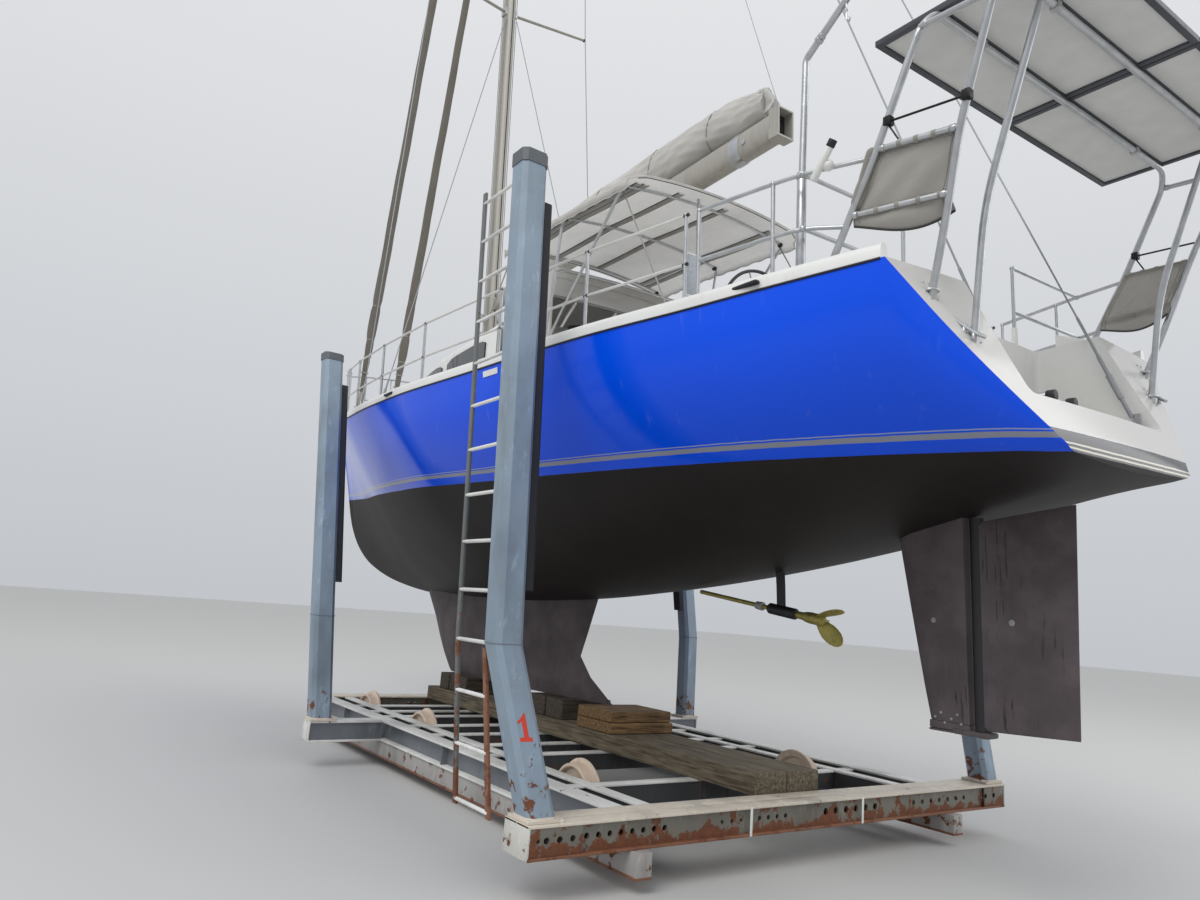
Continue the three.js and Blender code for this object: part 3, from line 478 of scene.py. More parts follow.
def hull_material(name, topside, paints, stern=False):
    """Paint in bands above and below the painted line, which is V = 0 on the hull's UV map."""
    look = Look(name)
    height = look.plus(look.part_of(look.uv, 1), look.times(look.plus(look.noise(9), -0.5), 0.006))
    sheen = look.noise(0.8, 3)
    top = look.mix(sheen, lit(topside, 0.92), lit(topside, 1.06))
    # Painted shade: the topsides darken towards the painted line; the stern gets none.
    low = look.rest(look.step(height, 0.05, 0.75))
    top = look.mix(look.times(low, 0.0 if stern else 0.3), top, lit(topside, 0.4))
    streak = look.noise(5, 5, stretch=(3.0, 3.0, 0.25))
    top = look.stained(top, streak, 0.62, 0.8, 0.12, srgb(150, 165, 190))
    if stern:
        colour = look.mix(look.band(height, -0.01, 0.115, 0.0015), top, srgb(60, 60, 64))
        for low in (0.012, 0.036):
            colour = look.mix(look.band(height, low, low + 0.010, 0.001), colour,
                srgb(214, 208, 192))
    else:
        stripe = look.band(height, paints.stripe_low, paints.stripe_high, 0.0015)
        line = look.band(height, paints.line_low, paints.line_high, 0.001)
        colour = look.mix(line, look.mix(stripe, top, tuple(paints.stripe)), srgb(140, 150, 175))
    bottom = look.mix(look.step(look.noise(2.2, 8, 0.62), 0.35, 0.75), tuple(paints.bottom),
        lit(paints.bottom, 1.5))
    bottom = look.stained(bottom, look.noise(26, 6, 0.7), 0.55, 0.75, 0.25, srgb(44, 36, 30))
    runs = look.noise(7, 4, stretch=(2.5, 2.5, 0.3))
    bottom = look.stained(bottom, runs, 0.6, 0.74, 0.15, srgb(60, 54, 50))
    under = look.rest(look.step(height, -0.002, 0.002))
    rough = look.plus(look.plus(look.times(under, 0.5), look.times(sheen, 0.12)), 0.06)
    grain = look.bump(look.noise(60, 5), 0.35, 0.0015)
    peel = look.bump(look.noise(3.5, 2), 0.05, 0.01, over=grain)
    return look.done(look.mix(under, colour, bottom), rough, 0.0, peel, Specular_IOR_Level=0.3)


def bottom_material(name):
    """Bottom paint on the keel, skeg and rudder, with runs and dust."""
    look = Look(name)
    base = look.mix(look.step(look.noise(2.6, 8, 0.6), 0.35, 0.7), srgb(72, 64, 66),
        srgb(94, 85, 87))
    runs = look.noise(14, 5, stretch=(2.2, 2.2, 0.16))
    base = look.stained(base, runs, 0.60, 0.76, 0.35, srgb(98, 90, 90))
    broad = look.times(look.step(look.noise(1.5, 4), 0.5, 0.62), 0.7)
    dark = look.noise(21, 4, stretch=(2.4, 2.4, 0.10))
    base = look.stained(base, dark, 0.61, 0.66, broad, srgb(20, 17, 17))
    base = look.stained(base, look.noise(40, 3), 0.68, 0.74, 0.3, srgb(120, 112, 106))
    return look.done(base, 0.72, 0.0, look.bump(look.noise(35, 6), 0.4, 0.002))


def gelcoat_material(name, grip=False):
    """White gelcoat, with a moulded non-slip pattern where asked."""
    look = Look(name, turn=HEEL)
    base = look.mix(look.noise(1.4, 6), srgb(214, 214, 210), srgb(238, 238, 235))
    grime = look.noise(6, 6, stretch=(1.0, 1.0, 0.4))
    base = look.stained(base, grime, 0.58, 0.78, 0.25, srgb(150, 146, 136))
    if grip:
        dots = look.node("TexVoronoi", Scale=160, Vector=look.place).outputs["Distance"]
        return look.done(base, 0.6, 0.0, look.bump(look.step(dots, 0.25, 0.5), 0.5, 0.002))
    return look.done(base, 0.28, 0.0, look.bump(look.noise(30, 3), 0.04, 0.002), Coat_Weight=0.15)


def stainless_material(name):
    """Polished tube with faint scratches and tea stains."""
    look = Look(name)
    base = look.mix(look.noise(12, 5), srgb(158, 160, 162), srgb(206, 208, 210))
    base = look.stained(base, look.noise(24, 6), 0.66, 0.8, 0.4, srgb(150, 120, 92))
    scratch = look.times(look.noise(26, 3, stretch=(1, 1, 0.15)), 0.12)
    return look.done(base, look.plus(scratch, 0.26), 0.85)


def alloy_material(name, colour=(168, 164, 156)):
    """Weathered anodised spar."""
    look = Look(name)
    streak = look.noise(20, 6, stretch=(1, 1, 0.06))
    base = look.mix(streak, shade(colour, 0.86), shade(colour, 1.1))
    base = look.stained(base, look.noise(60, 4), 0.64, 0.74, 0.3, srgb(116, 112, 104))
    return look.done(base, look.plus(look.times(streak, 0.2), 0.42), 0.25)


def bronze_material(name):
    """Weathered yellow bronze."""
    look = Look(name)
    base = look.mix(look.noise(16, 8), srgb(126, 116, 66), srgb(186, 174, 96))
    base = look.stained(base, look.noise(30, 5), 0.55, 0.7, 0.5, srgb(98, 104, 62))
    return look.done(base, 0.48, 0.55, look.bump(look.noise(90, 4), 0.2, 0.001))


def cloth_material(name, colour, weave=260.0, glow=0.0):
    """Woven cloth: threads across each other, faded in places, with damp marks."""
    look = Look(name)
    across, along, side = (look.wave(weave, way, 0.6) for way in "XZY")
    threads = look.times(look.plus(across, look.plus(along, side)), 0.333)
    base = look.mix(look.noise(2.2, 7, 0.6), shade(colour, 0.82), shade(colour, 1.09))
    base = look.mix(look.times(threads, 0.12), base, shade(colour, 0.6))
    damp = look.noise(1.1, 5, stretch=(1, 1, 0.5))
    base = look.stained(base, damp, 0.56, 0.72, 0.3, shade(colour, 0.72))
    folds = look.bump(look.noise(9, 4), 0.25, 0.01)
    return look.done(base, 0.92, 0.0, look.bump(threads, 0.35, 0.0008, over=folds),
        Sheen_Weight=0.15, Subsurface_Weight=glow, Subsurface_Scale=0.05,
        Subsurface_Radius=(1.0, 1.0, 1.0))


def plain_material(name, colour, rough=0.45, metal=0.0, grain=30.0, depth=0.12, relief=0.15):
    """Moulded or painted surface with a light grain and slow drift of tone."""
    look = Look(name)
    colour = srgb(*colour)
    base = look.mix(look.noise(7.0, 6), lit(colour, 1 - depth), lit(colour, 1 + depth))
    return look.done(base, look.plus(look.times(look.noise(grain, 4), 0.15), rough), metal,
        look.bump(look.noise(grain * 3, 4), relief, 0.001))


def window_material(name):
    """Dark smooth pane."""
    look = Look(name)
    base = look.mix(look.noise(5, 4), srgb(14, 18, 24), srgb(34, 40, 48))
    return look.done(base, 0.07, Coat_Weight=0.5, Coat_Roughness=0.03)


# Materials of the cradle

def steel_material(name, colour, rusty=0.5, foot=None):
    """Painted steel with chips and rust, rustier towards its foot."""
    look = Look(name)
    coat = look.mix(look.noise(3.0, 6), shade(colour, 0.88), shade(colour, 1.08))
    smudge = look.noise(1.7, 7, stretch=(1, 1, 0.5))
    coat = look.stained(coat, smudge, 0.46, 0.7, 0.55, shade(colour, 0.66))
    scuffs = look.noise(12, 7, 0.7, (1, 1, 0.35))
    coat = look.stained(coat, scuffs, 0.56, 0.66, 0.35, shade(colour, 1.28))
    rust = look.mix(look.noise(24, 8), srgb(70, 42, 28), srgb(140, 84, 52))
    rust = look.mix(look.step(look.noise(70, 4), 0.5, 0.7), rust, srgb(88, 58, 42))
    chips = look.noise(8, 9, 0.66)
    if foot:
        lower = look.rest(look.step(look.part_of(look.place, 2), *foot))
        chips = look.plus(chips, look.times(lower, 0.16))
    where = look.step(chips, 0.82 - rusty * 0.4, 0.86 - rusty * 0.4)
    runs = look.noise(16, 5, stretch=(1.6, 1.6, 0.12))
    coat = look.stained(coat, runs, 0.55, 0.75, rusty * 0.5, srgb(142, 104, 80))
    relief = look.bump(where, 0.3, 0.0012, over=look.bump(look.noise(45, 6), 0.3, 0.0015))
    return look.done(look.mix(where, coat, rust), look.plus(look.times(where, 0.35), 0.45),
        0.0, relief)


def wood_material(name, light, dark, along="X"):
    """Rough sawn timber, its grain along one way."""
    look = Look(name)
    way = tuple(0.6 if axis == along else 9 for axis in "XYZ")
    grain = look.noise(5.0, 9, 0.65, way, 0.4)
    base = look.mix(look.step(grain, 0.3, 0.72), srgb(*dark), srgb(*light))
    base = look.stained(base, look.noise(9.0, 6, stretch=way), 0.64, 0.7, 0.7, shade(dark, 0.35))
    base = look.stained(base, look.noise(2.5, 5), 0.55, 0.7, 0.35, shade(dark, 0.6))
    return look.done(base, 0.85, 0.0, look.bump(grain, 0.6, 0.004))


STEELS = (
    # look, name, colour, share of rust, heights between which the rust of the foot fades
    ("cradle", "cradle_paint", (112, 117, 123), 0.36),
    ("post", "post_paint", (138, 155, 170), 0.34, (0.45, 1.05)),
    ("worn", "worn_steel", (160, 158, 154), 0.55),
    ("wheel", "wheel_iron", (212, 192, 172), 0.36),
    ("cream", "flange_paint", (214, 204, 188), 0.44),
    ("rust", "rusty_steel", (128, 84, 60), 0.7),
    ("cap", "end_paint", (206, 204, 196), 0.55),
    ("web", "web_steel", (114, 112, 102), 0.68, (0.24, 0.35)),
    ("light", "light_steel", (226, 226, 221), 0.42),
    ("lid", "post_cap", (86, 92, 98), 0.3),
    ("ladder", "ladder_steel", (98, 102, 100), 0.52, (0.6, 1.9)),
    ("runner", "runner_paint", (166, 164, 160), 0.62),
    # grid: painted shade, the webs, axle housings and hubs much darker than the light flanges of the same
    # steel
    ("grid", "grid_paint", (60, 62, 64), 0.4),
)
PLAINS = (
    # look, name, colour, roughness, metal, grain, depth of tone, relief
    ("wire", "wire_rope", (148, 150, 154), 0.42, 0.4, 90.0, 0.1, 0.1),
    ("coated", "coated_line", (206, 206, 202), 0.4, 0.0, 60.0, 0.16, 0.1),
    ("dark", "dark_plastic", (28, 28, 32)),
    ("pad", "pad_rubber", (42, 42, 46), 0.75),
    ("white", "white_paint", (226, 226, 222), 0.5),
    ("weld", "weld", (120, 130, 144), 0.6, 0.0, 60.0, 0.25, 0.5),
    ("number", "number_paint", (208, 66, 46), 0.6),
    ("zinc", "zinc", (150, 150, 148), 0.6, 0.3, 60.0, 0.3, 0.4),
    ("seam", "seam", (24, 20, 20), 0.8),
    ("clear", "clear_panel", (176, 180, 180), 0.2, 0.0, 20.0, 0.1, 0.05),
    ("pane", "grey_pane", (150, 158, 164), 0.2),
    ("backsheet", "panel_underside", (206, 206, 204), 0.55),
    ("black_metal", "black_metal", (24, 24, 27), 0.32, 0.4),
)
CLOTHS = (
    # look, name, colour, threads, share of light that comes through
    ("canvas", "canvas", (188, 185, 179), 260.0, 0.6),
    # hood: painted light, a lighter cloth than the canvas, for the shade under the cockpit cover
    ("hood", "hood_canvas", (216, 214, 208), 260.0, 0.9),
    ("sail", "sail_cloth", (112, 106, 98)),
    ("rope", "rope", (150, 148, 142), 500.0),
    ("piping", "piping", (64, 62, 60), 400.0),
    ("cover", "cover_cloth", (150, 146, 138), 260.0, 0.15),
)
WOODS = (
    # look, name, light tone, dark tone, way of the grain
    ("timber", "timber", (130, 119, 99), (68, 58, 45)),
    ("block", "timber_block", (152, 120, 80), (72, 51, 31), "Y"),
    ("old_block", "old_block", (92, 82, 70), (46, 40, 34), "Y"),
    ("teak", "teak", (150, 120, 84), (104, 78, 50)),
)
SPECIALS = (
    # maker, look, name, and what the maker needs beside these
    (bottom_material, "bottom", "bottom_paint"),
    (gelcoat_material, "gelcoat", "gelcoat"),
    (gelcoat_material, "grip", "gelcoat_grip", True),
    (stainless_material, "stainless", "stainless"),
    (alloy_material, "alloy", "alloy"),
    (alloy_material, "frame", "panel_frame", (70, 72, 78)),
    (bronze_material, "bronze", "bronze"),
    (window_material, "window", "window"),
    (window_material, "cell", "solar_cell"),
)


class YACHT_PG_paint(bpy.types.PropertyGroup):
    """Colours and paint heights of the yacht"""
    topside: FloatVectorProperty(name="Topsides", description="Paint above the waterline",
        subtype="COLOR", default=srgb(0, 82, 240))
    stripe: FloatVectorProperty(name="Stripe", description="Band above the bottom paint",
        subtype="COLOR", default=srgb(132, 136, 148))
    bottom: FloatVectorProperty(name="Bottom", description="Paint below the waterline",
        subtype="COLOR", default=srgb(22, 17, 15))
    stripe_low: FloatProperty(name="Stripe foot",
        description="Height above the bottom paint", default=0.06, unit="LENGTH")
    stripe_high: FloatProperty(name="Stripe top",
        description="Height above the bottom paint", default=0.088, unit="LENGTH")
    line_low: FloatProperty(name="Line foot",
        description="Foot of the thin line above the stripe", default=0.097, unit="LENGTH")
    line_high: FloatProperty(name="Line top",
        description="Top of the thin line above the stripe", default=0.103, unit="LENGTH")


class YACHT_PG_sizes(bpy.types.PropertyGroup):
    """Sizes of the hull and the cradle"""
    length_steps: IntProperty(name="Hull steps", description="Divisions along the hull",
        default=110)
    girth_steps: IntProperty(name="Girth steps", description="Divisions round the hull", default=56)
    corner: FloatProperty(name="Edge", description="Rounding of steel edges", default=0.004,
        unit="LENGTH")
    wire: FloatProperty(name="Wire", description="Radius of the stays", default=0.006,
        unit="LENGTH")
    rail: FloatProperty(name="Rail", description="Radius of the rail tubes", default=0.0125,
        unit="LENGTH")


class YACHT_OT_materials(bpy.types.Operator):
    """Makes every material"""
    bl_idname = "yacht.materials"
    bl_label = "Materials"

    def execute(self, context):
        paints = context.scene.yacht_paint
        LOOKS["topsides"] = hull_material("topsides", tuple(paints.topside), paints)
        LOOKS["stern"] = hull_material("stern", srgb(210, 208, 205), paints, stern=True)
        rows = list(SPECIALS)
        for make, table in ((steel_material, STEELS), (plain_material, PLAINS),
                (cloth_material, CLOTHS), (wood_material, WOODS)):
            rows += [(make, *row) for row in table]
        for make, look, *values in rows:
            LOOKS[look] = make(*values)
        return {"FINISHED"}


# Hull lines, the same as the solids: distance from the aft beam, half width and height of
# the deck edge, half width and height of the painted line, height of the centre line, and
# how far the bottom is a straight V.
STATIONS = [
    # x, edge, edge height, paint, paint height, keel height, vee
    (-2.150, 0.700, 2.610, 0.640, 2.580, 2.548, 0.0),
    (-2.000, 0.960, 2.880, 0.800, 2.585, 2.528, 0.0),
    (-1.850, 1.190, 3.155, 0.900, 2.588, 2.500, 0.0),
    (-1.660, 1.460, 3.530, 0.990, 2.590, 2.455, 0.0),
    (-1.000, 1.660, 3.490, 1.260, 2.590, 2.300, 0.0),
    (-0.400, 1.790, 3.470, 1.450, 2.598, 2.160, 0.0),
    (0.500, 1.910, 3.480, 1.620, 2.615, 1.985, 0.05),
    (1.600, 1.980, 3.490, 1.720, 2.635, 1.835, 0.05),
    (3.000, 2.010, 3.530, 1.730, 2.680, 1.705, 0.08),
    (4.200, 1.940, 3.580, 1.580, 2.735, 1.650, 0.12),
    (5.400, 1.770, 3.650, 1.320, 2.795, 1.640, 0.2),
    (6.600, 1.480, 3.790, 0.980, 2.880, 1.680, 0.35),
    (7.800, 1.110, 4.000, 0.620, 2.970, 1.800, 0.5),
    (9.000, 0.690, 4.250, 0.290, 3.060, 2.060, 0.6),
    (9.600, 0.480, 4.360, 0.150, 3.100, 2.330, 0.65),
    (10.050, 0.330, 4.445, 0.060, 3.250, 2.720, 0.7),
    (10.450, 0.210, 4.510, 0.045, 3.800, 3.450, 0.7),
    (10.800, 0.110, 4.565, 0.030, 4.260, 4.080, 0.7),
    (11.100, 0.025, 4.615, 0.015, 4.590, 4.560, 0.7),
]
TRANSOM = 3     # row of the top of the stern
CAMBER = 0.055
PAINT_LINE = [(-2.15, 2.58), (-0.4, 2.598), (1.6, 2.635), (4.2, 2.735), (6.6, 2.88), (9.0, 3.06),
    (11.2, 3.22)]


def lined(rows, x, column):
    """Value of a column at x on a smooth line through the rows, which doesn't overshoot."""
    x = min(max(x, rows[0][0]), rows[-1][0])
    i = next(n for n in range(1, len(rows)) if rows[n][0] >= x)
    gaps = [rows[n + 1][0] - rows[n][0] for n in range(len(rows) - 1)]
    slopes = [(rows[n + 1][column] - rows[n][column]) / gaps[n] for n in range(len(rows) - 1)]

    def tangent(n):
        if n in (0, len(rows) - 1):
            return slopes[min(n, len(slopes) - 1)]
        before, after = slopes[n - 1], slopes[n]
        if before * after <= 0:
            return 0.0
        a, b = 2 * gaps[n] + gaps[n - 1], gaps[n] + 2 * gaps[n - 1]
        return (a + b) / (a / before + b / after)

    gap = gaps[i - 1]
    t = (x - rows[i - 1][0]) / gap
    return ((2 * t ** 3 - 3 * t ** 2 + 1) * rows[i - 1][column] + (t ** 3 - 2 * t ** 2 + t) * gap
        * tangent(i - 1) + (3 * t ** 2 - 2 * t ** 3) * rows[i][column] + (t ** 3 - t ** 2) * gap
        * tangent(i))


def station(x):
    """The six values of the hull lines at a distance."""
    rows = STATIONS[:TRANSOM + 1] if x <= STATIONS[TRANSOM][0] else STATIONS[TRANSOM:]
    edge, edge_z = lined(rows, x, 1), lined(rows, x, 2)
    return edge, edge_z, *[lined(STATIONS, x, column) for column in (3, 4, 5, 6)]


def crown(edge, edge_z):
    """Height of the deck at the centre line."""
    return edge_z + CAMBER * min(1, edge)


def deck_height(x, y):
    """Height of the deck at a place."""
    edge, edge_z, *_ = station(x)
    return crown(edge, edge_z) - (crown(edge, edge_z) - edge_z) * min(1, (abs(y) / edge)) ** 2


def edge_at(x):
    """Half width and height of the deck edge."""
    return station(x)[:2]


TOPSIDE_SHARE = 0.42


def hull_point(x, share):
    """Point of the port side of the hull, from the deck edge, 0, down to the centre line, 1."""
    edge, edge_z, water, water_z, keel_z, vee = station(x)
    top_slope = (edge - water) / max(edge_z - water_z, 0.01)
    low_slope = water / max(water_z - keel_z, 0.01)
    slope = top_slope + 0.12 * max(0.0, low_slope - top_slope)
    if share <= TOPSIDE_SHARE:
        t = share / TOPSIDE_SHARE
        reach = 0.5 * (edge_z - water_z)
        bend = (min(water + slope * reach, edge), water_z + reach)
        y = (1 - t) ** 2 * edge + 2 * t * (1 - t) * bend[0] + t * t * water
        z = (1 - t) ** 2 * edge_z + 2 * t * (1 - t) * bend[1] + t * t * water_z
        return Vector((x, y, z))
    t = (share - TOPSIDE_SHARE) / (1 - TOPSIDE_SHARE)
    drop = water_z - keel_z
    reach = 0.45 * drop / max(1.0, slope)
    first = (water - slope * reach, water_z - reach)
    second = (0.5 * water, keel_z + vee * 0.5 * drop)
    y = (1 - t) ** 3 * water + 3 * t * (1 - t) ** 2 * first[0] + 3 * t * t * (1 - t) * second[0]
    z = ((1 - t) ** 3 * water_z + 3 * t * (1 - t) ** 2 * first[1] + 3 * t * t * (1 - t)
        * second[1] + t ** 3 * keel_z)
    return Vector((x, y, z))


WELL = {"aft": 0.25, "fore": 2.85, "half": 0.48, "floor": 3.16}
SCOOP = {"fore": -1.25, "half": 0.76, "floor": 2.885}


class YACHT_OT_hull(bpy.types.Operator):
    """Adds the hull with its deck, cockpit well and stern step"""
    bl_idname = "yacht.hull"
    bl_label = "Hull"

    def execute(self, context):
        sizes = context.scene.yacht_sizes
        bm = bmesh.new()
        aft, fore = STATIONS[0][0], STATIONS[-1][0]
        corner = STATIONS[TRANSOM][0]
        knots = [aft + (corner - aft) * i / 12 for i in range(12)]
        knots += [corner + (fore - corner) * i / sizes.length_steps
            for i in range(sizes.length_steps + 1)]
        outer = bmesh.ops.create_grid(bm, x_segments=len(knots) - 1,
            y_segments=sizes.girth_steps, size=1)["verts"]
        for v in outer:
            x = knots[round((v.co.x + 1) / 2 * (len(knots) - 1))]
            side = v.co.y
            place = hull_point(x, 1 - abs(side))
            v.co = (x, place.y * (1 if side > 0 else -1), place.z)
        deck = bmesh.ops.create_grid(bm, x_segments=len(knots) - 1, y_segments=16, size=1)["verts"]
        for v in deck:
            x = knots[round((v.co.x + 1) / 2 * (len(knots) - 1))]
            edge, edge_z, *_ = station(x)
            share = v.co.y
            v.co = (x, edge * share, crown(edge, edge_z) - (crown(edge, edge_z) - edge_z)
                * share ** 2)
        for face in faces_among(deck):
            face.material_index = 2 if face.calc_center_median().x > corner else 1
        bmesh.ops.remove_doubles(bm, verts=bm.verts, dist=1e-4)
        bmesh.ops.holes_fill(bm, edges=[e for e in bm.edges if e.is_boundary], sides=0)
        bmesh.ops.recalc_face_normals(bm, faces=bm.faces)
        for face in bm.faces:
            if all(v.co.x < aft + 0.001 for v in face.verts):
                face.material_index = 1
        layer = bm.loops.layers.uv.new("height")
        for face in bm.faces:
            for loop in face.loops:
                x, _, z = loop.vert.co
                loop[layer].uv = (x, z - lined(PAINT_LINE, x, 1))
        hull = piece("hull_shell", bm, "topsides stern grip gelcoat", replaces="hull",
            smooth=32, closed=False)
        cuts = [((WELL["aft"], -WELL["half"], WELL["floor"]),
            (WELL["fore"], WELL["half"], 4.2), 0.06), ((-2.6, -SCOOP["half"], SCOOP["floor"]),
            (SCOOP["fore"], SCOOP["half"], 4.2), 0.05)]
        for low, high, edge in cuts:
            bm = bmesh.new()
            paint(block(bm, low, high, edge, 4), 3)
            carve(hull, bm)
        return {"FINISHED"}


# Cradle, measured from the aft face of its aft beam

BEAMS = (
    # name, node, aft face, half length
    ("aft_beam_steel", "aft_beam", 0.0, 2.36),
    ("fore_beam_steel", "fore_beam", 5.83, 1.66),
)
HOLES = (
    # first place across, count, pitch, radius
    (2.29, 1, 0, 0.010), (2.235, 3, -0.088, 0.019), (1.949, 8, -0.083, 0.018), (0.89, 3, -0.085, 0.013),
    (0.55, 4, -0.083, 0.016), (-0.11, 6, -0.11, 0.025), (-1.13, 7, -0.112, 0.018), (-2.08, 2, -0.12, 0.02),
)
CROSS_BARS = (0.900, 2.090, 2.560, 3.130, 3.660, 4.290, 4.670, 5.110)
AXLES = (1.262, 4.022, 5.500)
POSTS = {
    # foot, knee and top of the port post
    "aft": ((0.135, 2.245, 0.440), (0.400, 2.400, 1.370), (0.550, 2.460, 4.600)),
    "fore": ((4.005, 2.245, 0.440), (4.100, 2.310, 1.370), (4.680, 2.380, 4.060)),
}
BLOCKS = (
    # node, layers of (aft, fore, half width, foot, top)
    ("keel_block_aft", ((2.010, 2.545, 0.350, 0.5585, 0.650), (2.030, 2.560, 0.338, 0.652, 0.7445))),
    ("keel_block_middle", ((2.900, 3.190, 0.290, 0.5585, 0.742), (3.205, 3.500, 0.300, 0.5585, 0.7445))),
    ("keel_block_fore", ((4.900, 5.120, 0.300, 0.5585, 0.740), (5.130, 5.360, 0.285, 0.5585, 0.7445),
                         (5.370, 5.600, 0.295, 0.5585, 0.742))),
)
NUMERAL = ((-0.012, 0.115), (0.014, 0.145), (0.022, 0.145), (0.022, 0.022), (0.042, 0.020),
    (0.042, 0), (-0.034, 0), (-0.034, 0.020), (-0.006, 0.022), (-0.006, 0.102), (-0.030, 0.088),
    (-0.032, 0.104))


class YACHT_OT_beams(bpy.types.Operator):
    """Adds the cradle's beams, sills, runners and grid"""
    bl_idname = "yacht.beams"
    bl_label = "Cradle beams"

    def execute(self, context):
        corner = context.scene.yacht_sizes.corner
        for name, node, x, half in BEAMS:
            bm = bmesh.new()
            for low, high in ((0.0, 0.133), (0.137, 0.27)):
                block(bm, (x + low, -half, 0.403), (x + high, half, 0.420), corner)
            for low, high in ((0.0, 0.11), (0.16, 0.27)):
                paint(block(bm, (x + low, 0.002 - half, 0.233),
                    (x + high, half - 0.002, 0.251), corner), 1)
            for side in (1, -1):
                y = y_span(side, half, half - 0.014)
                paint(block(bm, (x + 0.001, y[0], 0.234), (x + 0.269, y[1], 0.419), corner), 2)
            piece(name, bm, "cream rust cap", SLIP, replaces=node)
            bm = bmesh.new()
            for low in (0.030, 0.224):
                block(bm, (x + low, 0.015 - half, 0.25), (x + low + 0.016, half - 0.015, 0.404))
            webs = piece(f"{node}_webs", bm, "web", SLIP)
            bm = bmesh.new()
            for first, count, pitch, radius in HOLES:
                for i in range(count):
                    y = first + i * pitch
                    if abs(y) < half - 0.05:
                        drum(bm, (x - 0.02, y, 0.335), (x + 0.3, y, 0.335), radius, sides=16)
            carve(webs, bm, SLIP)
        bm = bmesh.new()
        for y0, y1 in ((1.994, 2.346), (-2.346, -2.06)):
            block(bm, (0.006, y0, 0.2515), (0.016, y1, 0.4025), 0.002)
        covers = piece("aft_beam_cover_plates", bm, "web", SLIP)
        bm = bmesh.new()
        for first, count, pitch, radius in (HOLES[0], HOLES[1], HOLES[-1]):
            for i in range(count):
                y = first + i * pitch
                drum(bm, (-0.02, y, 0.335), (0.028, y, 0.335), radius, sides=16)
        carve(covers, bm, SLIP)
        bm = bmesh.new()
        for y in (0.658, -0.477):
            block(bm, (-0.0025, y - 0.011, 0.236), (-0.0003, y + 0.011, 0.418), 0.0008)
        piece("aft_beam_marks", bm, "white", SLIP, slot="worn_steel")
        for side, hand in SIDES:
            bm = bmesh.new()
            y0, y1 = y_span(side, 1.51, 1.66)
            middle = side * 1.585
            block(bm, (0.272, y0, 0.402), (5.828, y1, 0.420), corner)
            block(bm, (0.272, y0, 0.233), (5.828, y1, 0.251), corner)
            paint(block(bm, (0.272, middle - 0.008, 0.25), (5.828, middle + 0.008, 0.403)), 1)
            for x in (1.3, 2.6, 5.0):
                paint(block(bm, (x, y0 + 0.012, 0.25), (x + 0.012, y1 - 0.012, 0.403)), 1)
            inner, outer = y_span(side, 1.661, 2.36)
            for low, high in ((0.402, 0.420), (0.233, 0.251)):
                block(bm, (3.905, inner, low), (4.105, outer, high), corner)
            for x in (3.925, 4.069):
                paint(block(bm, (x, inner, 0.25), (x + 0.016, outer, 0.403)), 1)
            end = y_span(side, 2.348, 2.36)
            block(bm, (3.906, end[0], 0.234), (4.104, end[1], 0.419), 0.002)
            piece(f"sill_steel_{hand}", bm, "light cradle", SLIP, replaces=f"sill_{hand}")
            bm = bmesh.new()
            y0, y1 = y_span(side, 1.526, 1.644)
            block(bm, (-0.06, y0, 0.096), (6.16, y1, 0.2325), corner)
            paint(block(bm, (-0.06, y0 - 0.004, 0.080), (6.16, y1 + 0.004, 0.098), corner), 1)
            piece(f"runner_steel_{hand}", bm, "runner rust", SLIP, replaces=f"runner_{hand}")
        bm = bmesh.new()
        for side, _ in SIDES:
            y0, y1 = y_span(side, 1.255, 1.365)
            block(bm, (0.272, y0, 0.392), (5.828, y1, 0.408), corner)
            paint(block(bm, (0.272, y0 + 0.01, 0.234), (5.828, y1 - 0.01, 0.393)), 1)
            for x in AXLES:
                y0, y1 = y_span(side, 1.272, 1.348)
                paint(block(bm, (x - 0.07, y0, 0.152), (x + 0.07, y1, 0.24), 0.008), 1)
                paint(drum(bm, (x, y0 - 0.004, 0.26), (x, y1 + 0.004, 0.26), 0.062, sides=20,
                    edge=0.004), 1)
        for x in CROSS_BARS:
            for side, _ in SIDES:
                for low, high in ((0.002, 1.2545), (1.3655, 1.5095)):
                    y0, y1 = y_span(side, low, high)
                    block(bm, (x, y0, 0.388), (x + 0.095, y1, 0.404), corner)
                    paint(block(bm, (x + 0.008, y0, 0.254), (x + 0.087, y1, 0.389)), 1)
        # Slot 1, the webs, axle housings and hubs, takes the grid look: painted shade, darker than the
        # flanges.
        piece("frame_grid_steel", bm, "light grid", SLIP, replaces="frame_grid")
        return {"FINISHED"}


class YACHT_OT_wheels(bpy.types.Operator):
    """Adds the cradle's flanged wheels on their axles"""
    bl_idname = "yacht.wheels"
    bl_label = "Wheels"

    def execute(self, context):
        rim = [(0, 0), (0.066, 0), (0.072, 0.005), (0.078, 0.030), (0.090, 0.036), (0.188, 0.036),
            (0.200, 0.022), (0.206, 0.002), (0.254, 0), (0.260, 0.006), (0.260, 0.018),
            (0.254, 0.024), (0.236, 0.028), (0.230, 0.036), (0.227, 0.104), (0.221, 0.110),
            (0.206, 0.110), (0.198, 0.098), (0.190, 0.074), (0.090, 0.074), (0.078, 0.080),
            (0.072, 0.105), (0.066, 0.110), (0, 0.110)]
        for number, x in enumerate(AXLES):
            bm = bmesh.new()
            drum(bm, (x, -1.38, 0.26), (x, 1.38, 0.26), 0.0345, sides=20, edge=0.004)
            for side, _ in SIDES:
                spun(bm, rim, (x, side * 1.135, 0.26), (0, side, 0), 40)
                for i in range(6):
                    turn = tau * i / 6
                    bolt(bm, (x + 0.05 * cos(turn), side * 1.245, 0.26 + 0.05 * sin(turn)),
                        (0, side, 0), 0.007)
            piece(f"wheels_{number + 1}", bm, "wheel", SLIP, f"wheelset_{number + 1}",
                replaces=f"wheelset_{number + 1}")
        return {"FINISHED"}


POST_HALF = 0.095


